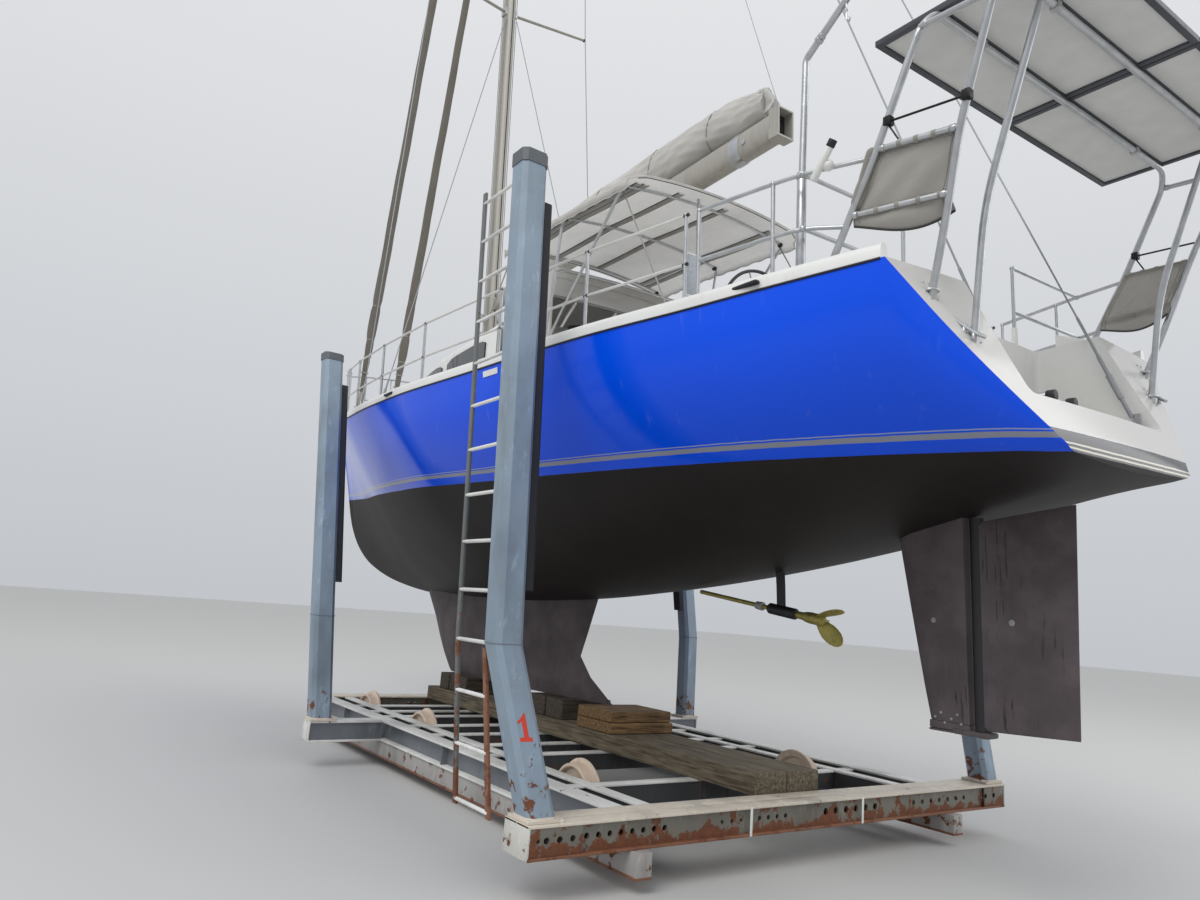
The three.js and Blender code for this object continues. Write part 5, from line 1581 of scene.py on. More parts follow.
class YACHT_OT_spars(bpy.types.Operator):
    """Adds the mast, the boom and the standing rigging"""
    bl_idname = "yacht.spars"
    bl_label = "Spars"

    def execute(self, context):
        looks = "alloy stainless dark rope"
        bm = bmesh.new()
        foot = house_row(MAST)[2] + 0.015
        skin(bm, [oval(MAST, 0, z, 0.105, 0.072, 32, 0.9) for z in (foot, 8.0, 12.0, 16.0, 20.598)])
        paint(tube(bm, [(MAST - 0.102, 0, 4.9), (MAST - 0.102, 0, 20.3)], 0.008, 8), 2)
        skin(bm, [oval(MAST, 0, foot - 0.01, 0.135, 0.100),
            oval(MAST, 0, foot + 0.03, 0.125, 0.092)])
        block(bm, (MAST - 0.19, -0.045, 20.545), (MAST + 0.15, 0.045, 20.638), 0.012)
        for z, span, sweep in SPREADERS:
            for side, _ in SIDES:
                rings = []
                for t in (0.0, 0.5, 0.95, 1.0):
                    at = between((MAST, 0, z), (MAST - sweep, side * span, z + 0.04), t)
                    wide = 0.028 - 0.006 * t
                    rings.append([(at.x + wide * cos(a), at.y, at.z + 0.014 * sin(a))
                        for a in [tau * k / 12 for k in range(12)]])
                skin(bm, rings)
                tip = Vector((MAST - sweep, side * (span + 0.012), z + 0.04))
                paint(ball(bm, tip, 0.022, (1, 0.7, 1.2), rows=6), 2)
                paint(block(bm, (MAST - 0.06, side * 0.075 - 0.02, z - 0.05),
                    (MAST + 0.06, side * 0.075 + 0.02, z + 0.05), 0.008), 1)
        for side, _ in SIDES:
            for z in (4.98, 5.22):
                paint(spun(bm, [(0.05, 0), (0.05, 0.012), (0.036, 0.02), (0.036, 0.06),
                    (0.046, 0.07), (0.046, 0.085), (0, 0.09)], (MAST, side * 0.066, z),
                    (0, side, 0), 20), 1)
            for x in (MAST - 0.05, MAST + 0.04):
                paint(tube(bm, [(x, side * 0.082, 4.75), (x, side * 0.084, 12.0),
                    (x, side * 0.07, 20.5)], 0.005, 6), 3)
        block(bm, (MAST - 0.147, -0.03, 5.320), (MAST - 0.085, 0.03, 5.352), 0.005)
        block(bm, (MAST - 0.147, -0.03, 5.448), (MAST - 0.085, 0.03, 5.480), 0.005)
        drum(bm, (MAST + 0.02, 0, 20.63), (MAST + 0.02, 0, 20.638), 0.03, sides=16)
        piece("mast_spar", bm, looks, replaces="mast")
        bm = bmesh.new()
        skin(bm, [boom_ring(t, *size) for t, *size in ((-0.0, 0.075, 0.045), (0.03, 0.085, 0.055),
            (0.12, 0.130, 0.095), (0.5, 0.130, 0.095), (0.985, 0.130, 0.095))])
        drum(bm, (GOOSENECK.x, 0, 5.3525), (GOOSENECK.x, 0, 5.4475), 0.0155, sides=16)
        paint(skin(bm, [boom_ring(0.885, 0.134, 0.099), boom_ring(0.89, 0.1375, 0.1025),
            boom_ring(0.905, 0.1375, 0.1025), boom_ring(0.91, 0.134, 0.099)]), 1)
        end = GOOSENECK.lerp(BOOM_TIP, 0.985)
        casting = bmesh.ops.create_cube(bm, size=1,
            matrix=Matrix.Translation((end.x - 0.045, 0, end.z))
            @ Matrix.Diagonal((0.11, 0.184, 0.262, 1)))["verts"]
        front = [f for f in faces_among(casting) if f.normal.x < -0.9]
        bmesh.ops.inset_region(bm, faces=front, thickness=0.02, depth=0)
        made = bmesh.ops.extrude_face_region(bm, geom=front)["geom"]
        hollow = [g for g in made if isinstance(g, bmesh.types.BMVert)]
        bmesh.ops.delete(bm, geom=front, context="FACES_ONLY")
        bmesh.ops.translate(bm, vec=(0.09, 0, 0), verts=hollow)
        paint(hollow, 2)
        for side, _ in SIDES:
            for t in (0.4, 0.55, 0.93):
                at = GOOSENECK.lerp(BOOM_TIP, t)
                paint(drum(bm, at + Vector((0.03, side * 0.088, -0.02)),
                    at + Vector((0.03, side * 0.108, -0.02)), 0.022, sides=14, edge=0.003), 1)
        for t in (0.56, 0.62):
            at = GOOSENECK.lerp(BOOM_TIP, t) - up_by(0.135)
            paint(tube(bm, [at + Vector((-0.04, 0, 0)), at + Vector((-0.02, 0, -0.03)),
                at + Vector((0.02, 0, -0.03)), at + Vector((0.04, 0, 0))], 0.006, 8), 1)
        paint(tube(bm, [end + Vector((-0.04, 0, 0.12)), (5.315, 0, 20.50)], 0.004, 6), 1)
        piece("boom_spar", bm, looks, body="boom", replaces="boom")
        radius = context.scene.yacht_sizes.wire
        for side, hand in SIDES:
            bm = bmesh.new()
            plate = Vector((MAST - 0.06, side * 1.64, deck_height(MAST - 0.06, 1.64) + 0.005))
            aft = Vector((MAST - 0.52, side * 1.60, deck_height(MAST - 0.52, 1.60) + 0.005))
            (low_z, low_y, low_x), (high_z, high_y, high_x) = SPREADERS
            cap = [plate, Vector((MAST - low_x, side * (low_y + 0.034), low_z + 0.04)),
                Vector((MAST - high_x, side * (high_y + 0.034), high_z + 0.04)),
                Vector((MAST - 0.06, side * 0.07, 20.53))]
            lower = [aft, Vector((MAST - 0.07, side * 0.084, low_z - 0.12))]
            for path in (cap, lower):
                tube(bm, path, radius, 8)
                way = (path[1] - path[0]).normalized()
                spun(bm, [(0.006, 0.10), (0.010, 0.11), (0.010, 0.20), (0.014, 0.205),
                    (0.014, 0.33), (0.010, 0.335), (0.010, 0.43), (0.006, 0.44)], path[0], way, 12)
                block(bm, path[0] + Vector((-0.012, -0.004, -0.01)),
                    path[0] + Vector((0.012, 0.004, 0.12)), 0.002)
                block(bm, path[0] + Vector((-0.05, -0.018, -0.008)),
                    path[0] + Vector((0.05, 0.018, 0.002)), 0.003)
            piece(f"shroud_wires_{hand}", bm, "wire", replaces=f"shrouds_{hand}")
        bm = bmesh.new()
        for side, _ in SIDES:
            foot, top = Vector((-1.9, side * 0.7, 2.893)), Vector((5.235, side * 0.03, 20.58))
            tube(bm, [foot, top], radius, 8)
            way = (top - foot).normalized()
            spun(bm, [(0.006, 0.10), (0.013, 0.11), (0.013, 0.24), (0.019, 0.245), (0.019, 0.42),
                (0.013, 0.425), (0.013, 0.56), (0.009, 0.57), (0.009, 0.86), (0.006, 0.87)],
                foot, way, 14)
            block(bm, foot + Vector((-0.012, -0.006, -0.012)),
                foot + Vector((0.03, 0.006, 0.12)), 0.003)
            block(bm, foot + Vector((-0.06, -0.03, -0.007)),
                foot + Vector((0.06, 0.03, 0.003)), 0.003)
        block(bm, (5.216, -0.042, 20.551), (5.2595, 0.042, 20.598), 0.004)
        piece("backstay_wires", bm, "wire", replaces="backstay")
        return {"FINISHED"}


class YACHT_OT_sails(bpy.types.Operator):
    """Adds the mainsail flaked on the boom and the two furled headsails"""
    bl_idname = "yacht.sails"
    bl_label = "Sails"

    def execute(self, context):
        bm = bmesh.new()
        rings = []
        steps = 90
        for i in range(steps + 1):
            t = 0.115 + 0.85 * i / steps
            long, wide = lined(COVER, t, 1), lined(COVER, t, 2)
            at = GOOSENECK.lerp(BOOM_TIP, t)
            ring = []
            for k in range(48):
                angle = tau * k / 48
                up, out = cos(angle), sin(angle)
                rise = (up + 1) / 2
                shape = bundle_shape(rise)
                tie = 1 - 0.10 * max(0, cos(tau * (t * 5.3 + 0.2))) ** 10
                fold = 0.010 * sin(7.0 * rise * pi + 3.1 * sin(t * 23) + (2 if out > 0 else 0.6))
                fold += 0.006 * sin(t * 61 + 5 * rise)
                side = out * wide * 1.04 * shape * tie + copysign(fold, out) * min(1, abs(out) * 2)
                height = at.z + 0.132 + long + long * up * (0.985 + 0.012 * sin(t * 31) * rise)
                ring.append((at.x, side, height))
            rings.append(ring)
        skin(bm, rings)
        sail = piece("mainsail_bundle", bm, "canvas", body="boom", replaces="mainsail_cover",
            smooth=70)
        bm = bmesh.new()
        at = GOOSENECK.lerp(BOOM_TIP, 0.962)
        for layer in range(5):
            y = -0.062 + 0.031 * layer

            def leech(u, v):
                z = at.z + 0.16 + 0.20 * v + 0.012 * layer * v
                return Vector((at.x - 0.02 - 0.055 * sin(pi * v) - 0.02 * layer * (1 - v) + 0.08
                    * (1 - u), y + 0.016 * sin(9 * v + layer * 1.9) * u, z))
            thicken(bm, surface(bm, 6, 20, leech), 0.002)
        folds = piece("mainsail_leech_folds", bm, "canvas", body="boom")
        bm = bmesh.new()
        for t in (0.28, 0.47, 0.66, 0.83):
            long, wide = lined(COVER, t, 1), lined(COVER, t, 2)
            at = GOOSENECK.lerp(BOOM_TIP, t)
            loop = []
            for k in range(25):
                angle = tau * k / 24
                rise = (cos(angle) + 1) / 2
                shape = bundle_shape(rise)
                loop.append((at.x, sin(angle) * (wide * shape + 0.012), at.z + 0.13 + long + long
                    * cos(angle) * 1.01 if cos(angle) > -0.95 else at.z + 0.12))
            tube(bm, loop, 0.0065, 8, capped=False)
        piece("sail_ties", bm, "rope", body="boom")
        for name, node, foot, top, radius in (("genoa_roll", "furled_genoa",
                (10.330, 0, crown(*edge_at(10.33)) - 0.02), (MAST + 0.17, 0, 20.520), 0.078),
                ("staysail_roll", "furled_staysail", (8.690, 0, crown(*edge_at(8.69)) - 0.02),
                (MAST + 0.1188, 0, 15.560), 0.066)):
            foot, top = Vector(foot), Vector(top)
            way = (top - foot).normalized()
            turn = way.to_track_quat("Z", "Y").to_matrix()
            bm = bmesh.new()
            paint(spun(bm, [(0.010, 0), (0.010, 0.19), (0.066, 0.192), (0.070, 0.20),
                (0.070, 0.215), (0.048, 0.22), (0.046, 0.29), (0.070, 0.295), (0.070, 0.31),
                (0.022, 0.318), (0.022, 0.60)], foot, way, 24), 1)
            length = (top - foot).length
            paint(tube(bm, [foot + way * 0.5, top - way * 0.02], 0.013, 10), 1)
            rings = []
            count = 150
            for i in range(count + 1):
                share = 0.035 + 0.90 * i / count
                size = radius * (0.35 + 0.65 * min(1, (share - 0.03) / 0.07)) * (1 - 0.22
                    * max(0, share - 0.12) / 0.43 if share < 0.55 else 0.78 - 0.9 * (share - 0.55))
                size = max(size, 0.022)
                tie = 1 - 0.16 * sum(exp(-((share - s) * length / 0.035) ** 2) for s in ROLL_TIES)
                ring = []
                for k in range(20):
                    angle = tau * k / 20
                    ripple = 1 + 0.055 * sin(3 * angle + share * length * 3.0) + 0.03 * sin(5
                        * angle - share * length * 7.3)
                    r = size * ripple * tie
                    ring.append(foot + way * (share * length) + turn
                        @ Vector((r * cos(angle), r * sin(angle), 0)))
                rings.append(ring)
            paint(skin(bm, rings), 0)
            for s in ROLL_TIES:
                paint(spun(bm, [(radius * 0.62, -0.012), (radius * 0.86, -0.008),
                    (radius * 0.88, 0.008), (radius * 0.62, 0.012)], foot + way * s * length,
                    way, 20), 2)
            roll = piece(name, bm, "sail alloy rope", replaces=node)
        return {"FINISHED"}


# Canvas over the cockpit

BIMINI_HALF = 1.02
BIMINI_BOWS = (1.29, 2.22, 3.19)
BIMINI_FOOT = 2.45


def bimini_top(x, y):
    """Height of the top of the cockpit cover."""
    rows = ((1.2, 5.300), (1.7, 5.325), (2.5, 5.340), (3.28, 5.320))
    return lined(rows, x, 1) - 0.09 * (y / BIMINI_HALF) ** 2


def bow_sag(x):
    """Sag of the cockpit cover between two bows."""
    return sum(0.012 * sin(pi * (x - a) / (b - a)) for a, b in zip(BIMINI_BOWS, BIMINI_BOWS[1:])
        if a < x < b)


def coaming_top(x):
    """Height of the top of a coaming."""
    return crown(*edge_at(x)) + 0.33 + 0.11 * (x - 0.25) / 2.75


class YACHT_OT_canvas(bpy.types.Operator):
    """Adds the cockpit cover on its frame and the sprayhood"""
    bl_idname = "yacht.canvas"
    bl_label = "Cockpit canvas"

    def execute(self, context):
        bm = bmesh.new()
        aft, fore, half = 1.05, 3.29, BIMINI_HALF

        def cover(u, v):
            side = 2 * v - 1
            drop = max(0.0, abs(side) - 0.95) / 0.05
            y = half * min(abs(side) / 0.95, 1) * (1 - 0.012 * drop)
            round_off = 0.13 * max(0, (y - half + 0.16) / 0.16) ** 2
            x = aft + round_off + (fore - aft - round_off
                - (0.05 * max(0, (y - half + 0.1) / 0.1) ** 2)) * u
            sag = bow_sag(x)
            z = bimini_top(x, y) - 0.0225 - sag * (1 - (y / half) ** 2)
            wave = 0.007 * sin(x * 34) * drop
            return Vector((x, copysign(y, side), z - 0.075 * drop + wave))

        surface(bm, 64, 60, cover)
        canopy = piece("cockpit_cover", bm, "canvas", replaces="bimini_canopy", closed=False)
        thick_cloth(canopy, 0.0022, 1)
        wide = sum((cover(0.5, i / 80) - cover(0.5, (i + 1) / 80)).length for i in range(80))
        bm = bmesh.new()
        for y in (0.86, 0.79, 0.40, -0.13, -0.72, -0.80):
            def sleeve(u, v):
                x = 1.20 + 2.0 * u
                angle = pi * v
                return Vector((x, y + 0.030 * cos(angle), bimini_top(x, y) - 0.0262 - 0.011
                    * sin(angle) - bow_sag(x)))
            thicken(bm, surface(bm, 24, 6, sleeve), 0.0015)
            for edge in (-0.031, 0.031):
                run = [sleeve(i / 24, 0) + Vector((0, -0.03 + edge, -0.002)) for i in range(25)]
                paint(tube(bm, run, 0.0042, 6), 1)
        hem = [*rim_of(cover, 40, 40), cover(0, 0)]
        paint(tube(bm, hem, 0.0055, 8, capped=False), 2)
        for x in (1.075, 3.262):
            run = [cover((x - aft) / (fore - aft), 0.06 + 0.88 * i / 30) - up_by(0.006)
                for i in range(31)]
            paint(tube(bm, run, 0.004, 6), 1)
        sleeves = piece("cockpit_cover_sleeves", bm, "canvas piping canvas")
        bm = bmesh.new()
        reach = 0.95
        for x in BIMINI_BOWS:
            path = [Vector((x, reach * half * t, bimini_top(x, reach * half * t) - 0.0383))
                for t in [i / 10 - 1 for i in range(21)]]
            for side in (-1, 1):
                foot = Vector((BIMINI_FOOT, side * 0.975, coaming_top(BIMINI_FOOT) + 0.016))
                if side < 0:
                    path.insert(0, foot)
                else:
                    path.append(foot)
            tube(bm, path, 0.0135, 12, bend=0.09)
            for side in (-1, 1):
                at = Vector((x, side * reach * half * 0.97, bimini_top(x, reach * half * 0.97)
                    - 0.05))
                paint(drum(bm, at + Vector((-0.02, 0, 0)), at + Vector((0.02, 0, 0)), 0.019,
                    sides=14, edge=0.003), 1)
        for side, _ in SIDES:
            foot = Vector((BIMINI_FOOT, side * 0.975, coaming_top(BIMINI_FOOT) - 0.02))
            drum(bm, foot, foot + up_by(0.036), 0.034, sides=20, edge=0.004)
            drum(bm, foot + Vector((-0.05, 0, 0.05)), foot + Vector((0.05, 0, 0.05)), 0.020,
                sides=14, edge=0.003)
            brace = [Vector((BIMINI_FOOT + 0.02, side * 0.972, coaming_top(2.45) + 0.55)),
                Vector((3.17, side * 0.965, 5.12))]
            tube(bm, brace, 0.009, 10)
            strap = Vector((1.31, side * 0.955, bimini_top(1.3, 0.95) - 0.06))
            paint(tube(bm, [strap, Vector((0.60, side * 1.00, coaming_top(0.6) + 0.02))], 0.0065,
                8), 2)
            strap = Vector((3.18, side * 0.955, bimini_top(3.2, 0.95) - 0.06))
            paint(tube(bm, [strap, Vector((3.60, side * 1.02, house_row(3.6)[2] - 0.012))],
                0.0065, 8), 2)
        tube(bm, [(1.20, 0.20, bimini_top(1.2, 0.2) - 0.030), (1.20, 0.20, 4.73)], 0.012, 12)
        for z in (4.98, 5.2):
            drum(bm, (1.20, 0.20, z), (1.20, 0.20, z + 0.03), 0.016, sides=14, edge=0.002)
        piece("cockpit_cover_bows", bm, "stainless dark rope", replaces="bimini_frame")
        arch = ((2.420, 0.925, 4.815), (2.480, 0.925, 4.845), (2.760, 0.925, 4.812),
            (3.000, 0.925, 4.770), (3.230, 0.925, 4.600), (3.460, 0.925, 4.425))

        def hood(u, v):
            at = u * (len(arch) - 1)
            i = min(int(at), len(arch) - 2)
            x, y_out, z = between(arch[i], arch[i + 1], at - i)
            side = 2 * v - 1
            base = 4.45 if x > 2.98 else coaming_top(2.6) + 0.02
            base = min(base, z - 0.001)
            if abs(side) < 0.72:
                share = abs(side) / 0.72
                y = (y_out - 0.10) * share
                height = z + 0.018 * (1 - share ** 2)
            else:
                share = (abs(side) - 0.72) / 0.28
                turn = min(1, share / 0.35) * pi / 2
                y = y_out - 0.10 + 0.10 * sin(turn)
                height = z - 0.10 * (1 - cos(turn)) * min(1, (z - base) / 0.12)
                if share > 0.35:
                    fall = (share - 0.35) / 0.65
                    height = height + (base - height) * fall
            pucker = 0.004 * sin(26 * u + 5 * side) * (1 - abs(side))
            return Vector((x, copysign(y, side), height + pucker))

        bm = bmesh.new()
        surface(bm, 30, 56, hood)
        # The hood look is painted light: a lighter cloth for the shade under the cockpit cover.
        hood_cloth = piece("sprayhood", bm, "hood", replaces="spray_hood", closed=False)
        thick_cloth(hood_cloth, 0.0022, -1)
        bm = bmesh.new()
        for y0, y1 in ((-0.78, -0.28), (-0.24, 0.24), (0.28, 0.78)):
            def pane(u, v):
                at = hood(0.60 + 0.30 * u, 0.5 + 0.36 * (y0 + (y1 - y0) * v) / 0.825)
                return at + Vector((0.004, 0, 0.004))
            rim = surface(bm, 8, 12, pane)
            paint(thicken(bm, rim, 0.002), 1)
            edge = rim_of(pane, 8, 12)
            paint(tube(bm, edge + edge[:2], 0.0055, 6, capped=False), 0)
        for side in (0, 1):
            run = [hood(i / 30, side) for i in range(31)]
            tube(bm, run, 0.0065, 8)
        back = [hood(0, i / 56) for i in range(57)]
        tube(bm, back, 0.009, 8)
        front = [hood(1, i / 56) for i in range(57)]
        tube(bm, front, 0.006, 8)
        for u in (0.33, 0.60):
            tube(bm, [hood(u, i / 56) + up_by(0.0005) for i in range(57)], 0.0045, 6)
        trim = piece("sprayhood_trim", bm, "canvas clear", smooth=50)
        bm = bmesh.new()
        for u in (0.02, 0.60):
            path = [hood(u, i / 28) - up_by(0.014) for i in range(29)]
            path = [Vector((p.x, p.y * 0.984, p.z)) for p in path[2:-2]]
            ends = [Vector((2.72, s * 0.905, coaming_top(2.72) + 0.03)) for s in (-1, 1)]
            tube(bm, [ends[0], *path, ends[1]], 0.0115, 10)
        for side, _ in SIDES:
            at = Vector((2.72, side * 0.905, coaming_top(2.72)))
            drum(bm, at + up_by(-0.03), at + up_by(0.05), 0.022, sides=14, edge=0.003)
        piece("sprayhood_frame", bm, "stainless")
        bm = bmesh.new()
        block(bm, (1.188, 0.170, 4.335), (1.212, 0.310, 4.745), 0.010, 3)
        for z in (4.345, 4.725):
            paint(block(bm, (1.184, 0.166, z), (1.216, 0.314, z + 0.014), 0.004), 1)
        piece("cockpit_panel", bm, "pane gelcoat")
        return {"FINISHED"}


# Stern gear

ARCH_TOP = 4.820
ARCH_FORE = ((-1.195, 1.400, 3.480), (-1.578, 1.400, 4.161), (-1.849, 1.400, 4.726),
    (-1.890, 1.320, 4.820))
ARCH_AFT = ((-1.740, 1.195, 3.340), (-1.880, 1.260, 3.730), (-2.010, 1.330, 4.130),
    (-2.250, 1.400, 4.700), (-2.290, 1.320, 4.820))
ARCH_STERN = ((-1.851, 1.000, 3.130), (-1.940, 1.010, 3.850), (-2.290, 1.030, 4.820))


class YACHT_OT_stern(bpy.types.Operator):
    """Adds the stern arch with its panel and cloths, the crane and the gear on the stern step"""
    bl_idname = "yacht.stern"
    bl_label = "Stern gear"

    def execute(self, context):
        bm = bmesh.new()
        for side, _ in SIDES:
            on = [[Vector((x, side * y, z)) for x, y, z in leg] for leg in (ARCH_FORE,
                ARCH_AFT, ARCH_STERN)]
            tube(bm, [*on[0], Vector((-1.89, 0, ARCH_TOP))], 0.0200, 14, bend=0.10)
            tube(bm, [*on[1], Vector((-2.29, 0, ARCH_TOP))], 0.0200, 14, bend=0.10)
            tube(bm, on[2], 0.0200, 14, bend=0.2)
            links = ((on[0][2], on[1][3]), (on[0][1], on[1][2]),
                (Vector((-1.398, side * 1.4, 3.850)), Vector((-1.915, side * 1.28, 3.835))))
            for a, b in links:
                tube(bm, [a, b], 0.0165, 12)
                way = (b - a).normalized()
                drum(bm, a + way * 0.018, a + way * 0.045, 0.0200, sides=14, edge=0.003)
                drum(bm, b - way * 0.045, b - way * 0.018, 0.0200, sides=14, edge=0.003)
            for leg in on:
                foot = leg[0]
                z = deck_height(foot.x, foot.y) + 0.002
                paint(drum(bm, (foot.x, foot.y, z - 0.004), (foot.x, foot.y, z + 0.008),
                    0.045, sides=20, edge=0.003), 0)
                deck_bolt_ring(bm, foot.x, foot.y, 0.034)
        for side, _ in SIDES:
            for x in (-1.89, -2.29):
                at = Vector((x, side * 0.9, ARCH_TOP))
                block(bm, at + Vector((-0.026, -0.02, -0.026)),
                    at + Vector((0.026, 0.02, 0.0185)), 0.006)
        piece("stern_arch_tubes", bm, "stainless", replaces="stern_arch")
        bm = bmesh.new()
        for side, _ in SIDES:
            ends = (Vector((-1.652, side * 1.4, 4.290)), Vector((-2.072, side * 1.36, 4.258)))
            tube(bm, ends, 0.0065, 8)
            for at in ends:
                block(bm, at - Vector((0.022, 0.022, 0.026)),
                    at + Vector((0.022, 0.022, 0.026)), 0.006)
            tube(bm, [ends[0] - up_by(0.02), (-1.705, side * 1.395, 4.172)], 0.005, 8)
        piece("panel_struts", bm, "black_metal")
        bm = bmesh.new()
        base = ARCH_TOP + 0.0188
        for y0, y1 in ((-1.300, -0.004), (0.004, 1.300)):
            for low, high in (((-2.600, y0, base), (-2.565, y1, base + 0.035)),
                    ((-1.535, y0, base), (-1.500, y1, base + 0.035)),
                    ((-2.566, y0, base), (-1.534, y0 + 0.035, base + 0.035)),
                    ((-2.566, y1 - 0.035, base), (-1.534, y1, base + 0.035))):
                block(bm, low, high, 0.002)
            paint(block(bm, (-2.566, y0 + 0.034, base + 0.014),
                (-1.534, y1 - 0.034, base + 0.020)), 1)
            for i in range(6):
                for k in range(7):
                    x0, w = -2.55 + i * 0.168, 0.158
                    y, d = y0 + 0.05 + k * (y1 - y0 - 0.10) / 7, (y1 - y0 - 0.10) / 7 - 0.008
                    paint(block(bm, (x0, y, base + 0.0195), (x0 + w, y + d, base + 0.0235), 0.001,
                        1), 2)
            for x in (-2.29, -1.89):
                paint(block(bm, (x - 0.02, y0 + 0.036, base + 0.0005),
                    (x + 0.02, y1 - 0.036, base + 0.0145), 0.002), 0)
        piece("solar_panels", bm, "frame backsheet cell", replaces="solar_panel")
        for side, hand in SIDES:
            upper = (Vector((-1.578, side * 1.4, 4.161)), Vector((-2.010, side * 1.33, 4.130)))
            lower = (Vector((-1.398, side * 1.4, 3.850)), Vector((-1.915, side * 1.28, 3.835)))

            def panel(u, v):
                along = 0.02 + 0.95 * u
                at = between(between(*upper, along), between(*lower, along), min(v, 0.75) / 0.75)
                belly = 0.022 * sin(pi * min(v / 0.75, 1)) * sin(pi * u)
                crease = 0.006 * sin(14 * u + 9 * v) * sin(pi * v)
                drop = max(0.0, v - 0.75) / 0.25
                sag = 0.125 * drop * (0.35 + 0.65 * sin(pi * (0.08 + 0.84 * u) ** 1.3))
                bag = 0.03 * sin(pi * drop) * sin(pi * u)
                return at + Vector((0, side * (belly + crease - 0.024 + bag - 0.05 * drop * u),
                    -sag))

            bm = bmesh.new()
            surface(bm, 36, 26, panel)
            cloth = piece(f"rail_cloth_{hand}", bm, "cover", closed=False)
            thick_cloth(cloth, 0.002, 0)
            bm = bmesh.new()
            for v, size in ((0, 0.006), (0.05, 0.003), (0.70, 0.003), (1, 0.007)):
                paint(tube(bm,
                    [panel(i / 20, v) + Vector((0, side * 0.001, 0)) for i in range(21)], size,
                    8), int(v == 1))
            for u in (0, 0.06, 0.93, 1):
                tube(bm, [panel(u, i / 20) + Vector((0, side * 0.001, 0)) for i in range(21)],
                    0.004, 8)
            for i in range(5):
                u = 0.06 + 0.22 * i
                for line, v in ((upper, 0), (lower, 0.75)):
                    spot, way = between(*line, 0.02 + 0.95 * u), (line[1] - line[0]).normalized()
                    paint(drum(bm, spot - way * 0.012, spot + way * 0.012, 0.0195, sides=14,
                        edge=0.002), 0)
            hem = piece(f"rail_cloth_hem_{hand}", bm, "cover piping")
        bm = bmesh.new()
        low, high = Vector((-1.422, 1.352, 3.878)), Vector((-1.560, 1.362, 4.196))
        rings = []
        way = (high - low).normalized()
        turn = way.to_track_quat("Z", "Y").to_matrix()
        for i in range(31):
            t = i / 30
            end = min(1, sqrt(max(0.0, 1 - max(0, abs(2 * t - 1) - 0.72) ** 2 / 0.28 ** 2)) + 0.02)
            size = 0.043 * end * (1 - 0.05 * exp(-((t - 0.45) / 0.06) ** 2) + 0.08 * sin(2 * t + 1))
            rings.append([between(low, high, t) + turn
                @ Vector((size * 1.55 * cos(tau * k / 24)
                * (1 + 0.04 * sin(5 * tau * k / 24 + 6 * t)), size * 0.62 * sin(tau * k / 24),
                0)) for k in range(24)])
        skin(bm, rings)
        roll = piece("rolled_cloth", bm, "cover")
        bm = bmesh.new()
        foot = Vector((-1.085, 1.440, deck_height(-1.085, 1.44)))
        drum(bm, foot, Vector((-1.098, 1.44, 4.195)), 0.027, sides=20, edge=0.003)
        tube(bm, [(-1.096, 1.44, 4.1), (-1.127, 1.44, 4.899), (-1.450, 1.44, 5.140)], 0.020,
            16, bend=0.03)
        drum(bm, foot + up_by(-0.004), foot + up_by(0.010), 0.055, sides=24, edge=0.003)
        deck_bolt_ring(bm, foot.x, foot.y, 0.040)
        drum(bm, (-1.0975, 1.44, 4.165), (-1.0985, 1.44, 4.205), 0.0305, sides=20, edge=0.003)
        elbow, end = Vector((-1.127, 1.44, 4.899)), Vector((-1.450, 1.44, 5.140))
        way = (end - elbow).normalized()
        for t, size in ((0.30, 0.026), (0.36, 0.024)):
            at = between(elbow, end, t)
            drum(bm, at - way * 0.012, at + way * 0.012, size, sides=16, edge=0.003)
        tip = between(elbow, end, 0.90)
        tube(bm, [tip + up_by(-0.012), tip + up_by(-0.050), tip + Vector((0, 0.016, -0.066)),
            tip + up_by(-0.084), tip + Vector((0, -0.012, -0.066)), tip + up_by(-0.052)], 0.004, 8)
        tube(bm, [tip + up_by(-0.080), tip + up_by(-0.120), tip + Vector((-0.020, 0, -0.142)),
            tip + Vector((-0.026, 0, -0.120)), tip + Vector((-0.016, 0, -0.104))], 0.005, 8)
        paint(drum(bm, (-1.250, 1.522, 4.075), (-1.372, 1.522, 4.232), 0.022, sides=20,
            edge=0.002), 1)
        paint(drum(bm, (-1.366, 1.522, 4.224), (-1.392, 1.522, 4.258), 0.024, sides=20,
            edge=0.004), 2)
        paint(ball(bm, (-1.330, 1.4915, 4.142), 0.033, (1, 1, 0.95), rows=10), 1)
        piece("lifting_gear", bm, "stainless gelcoat dark", replaces="lifting_crane")
        bm = bmesh.new()
        for y, start in ((0.50, -1.62), (0.25, -1.60)):
            drum(bm, (start, y, 2.922), (start - 0.34, y - 0.02, 2.922), 0.026, sides=20,
                edge=0.003)
            paint(drum(bm, (start - 0.325, y - 0.019, 2.922),
                (start - 0.372, y - 0.022, 2.922), 0.0295, sides=20, edge=0.004), 1)
            for t in (0.12, 0.7):
                x = start - 0.34 * t
                paint(block(bm, (x - 0.012, y - 0.034, 2.886), (x + 0.012, y + 0.022, 2.905),
                    0.003), 0)
        for i in range(5):
            x = -1.33 - 0.085 * i
            paint(block(bm, (x - 0.06, -0.70, 2.8865), (x, 0.70, 2.898), 0.003, 1), 2)
        x0, x1 = -1.60, -1.30
        z0, z1 = deck_height(-1.6, 1.05), deck_height(-1.3, 1.05)
        outline = [(x0, -0.92, z0 - 0.01), (x1, -0.92, z1 - 0.01), (x1, -0.92, z1 + 0.16),
            (x0, -0.92, z0 + 0.025)]
        paint(plate(bm, outline, (0, -0.34, 0), 0.012), 3)
        piece("stern_step_gear", bm, "stainless dark teak gelcoat")
        return {"FINISHED"}


# Cockpit and bow

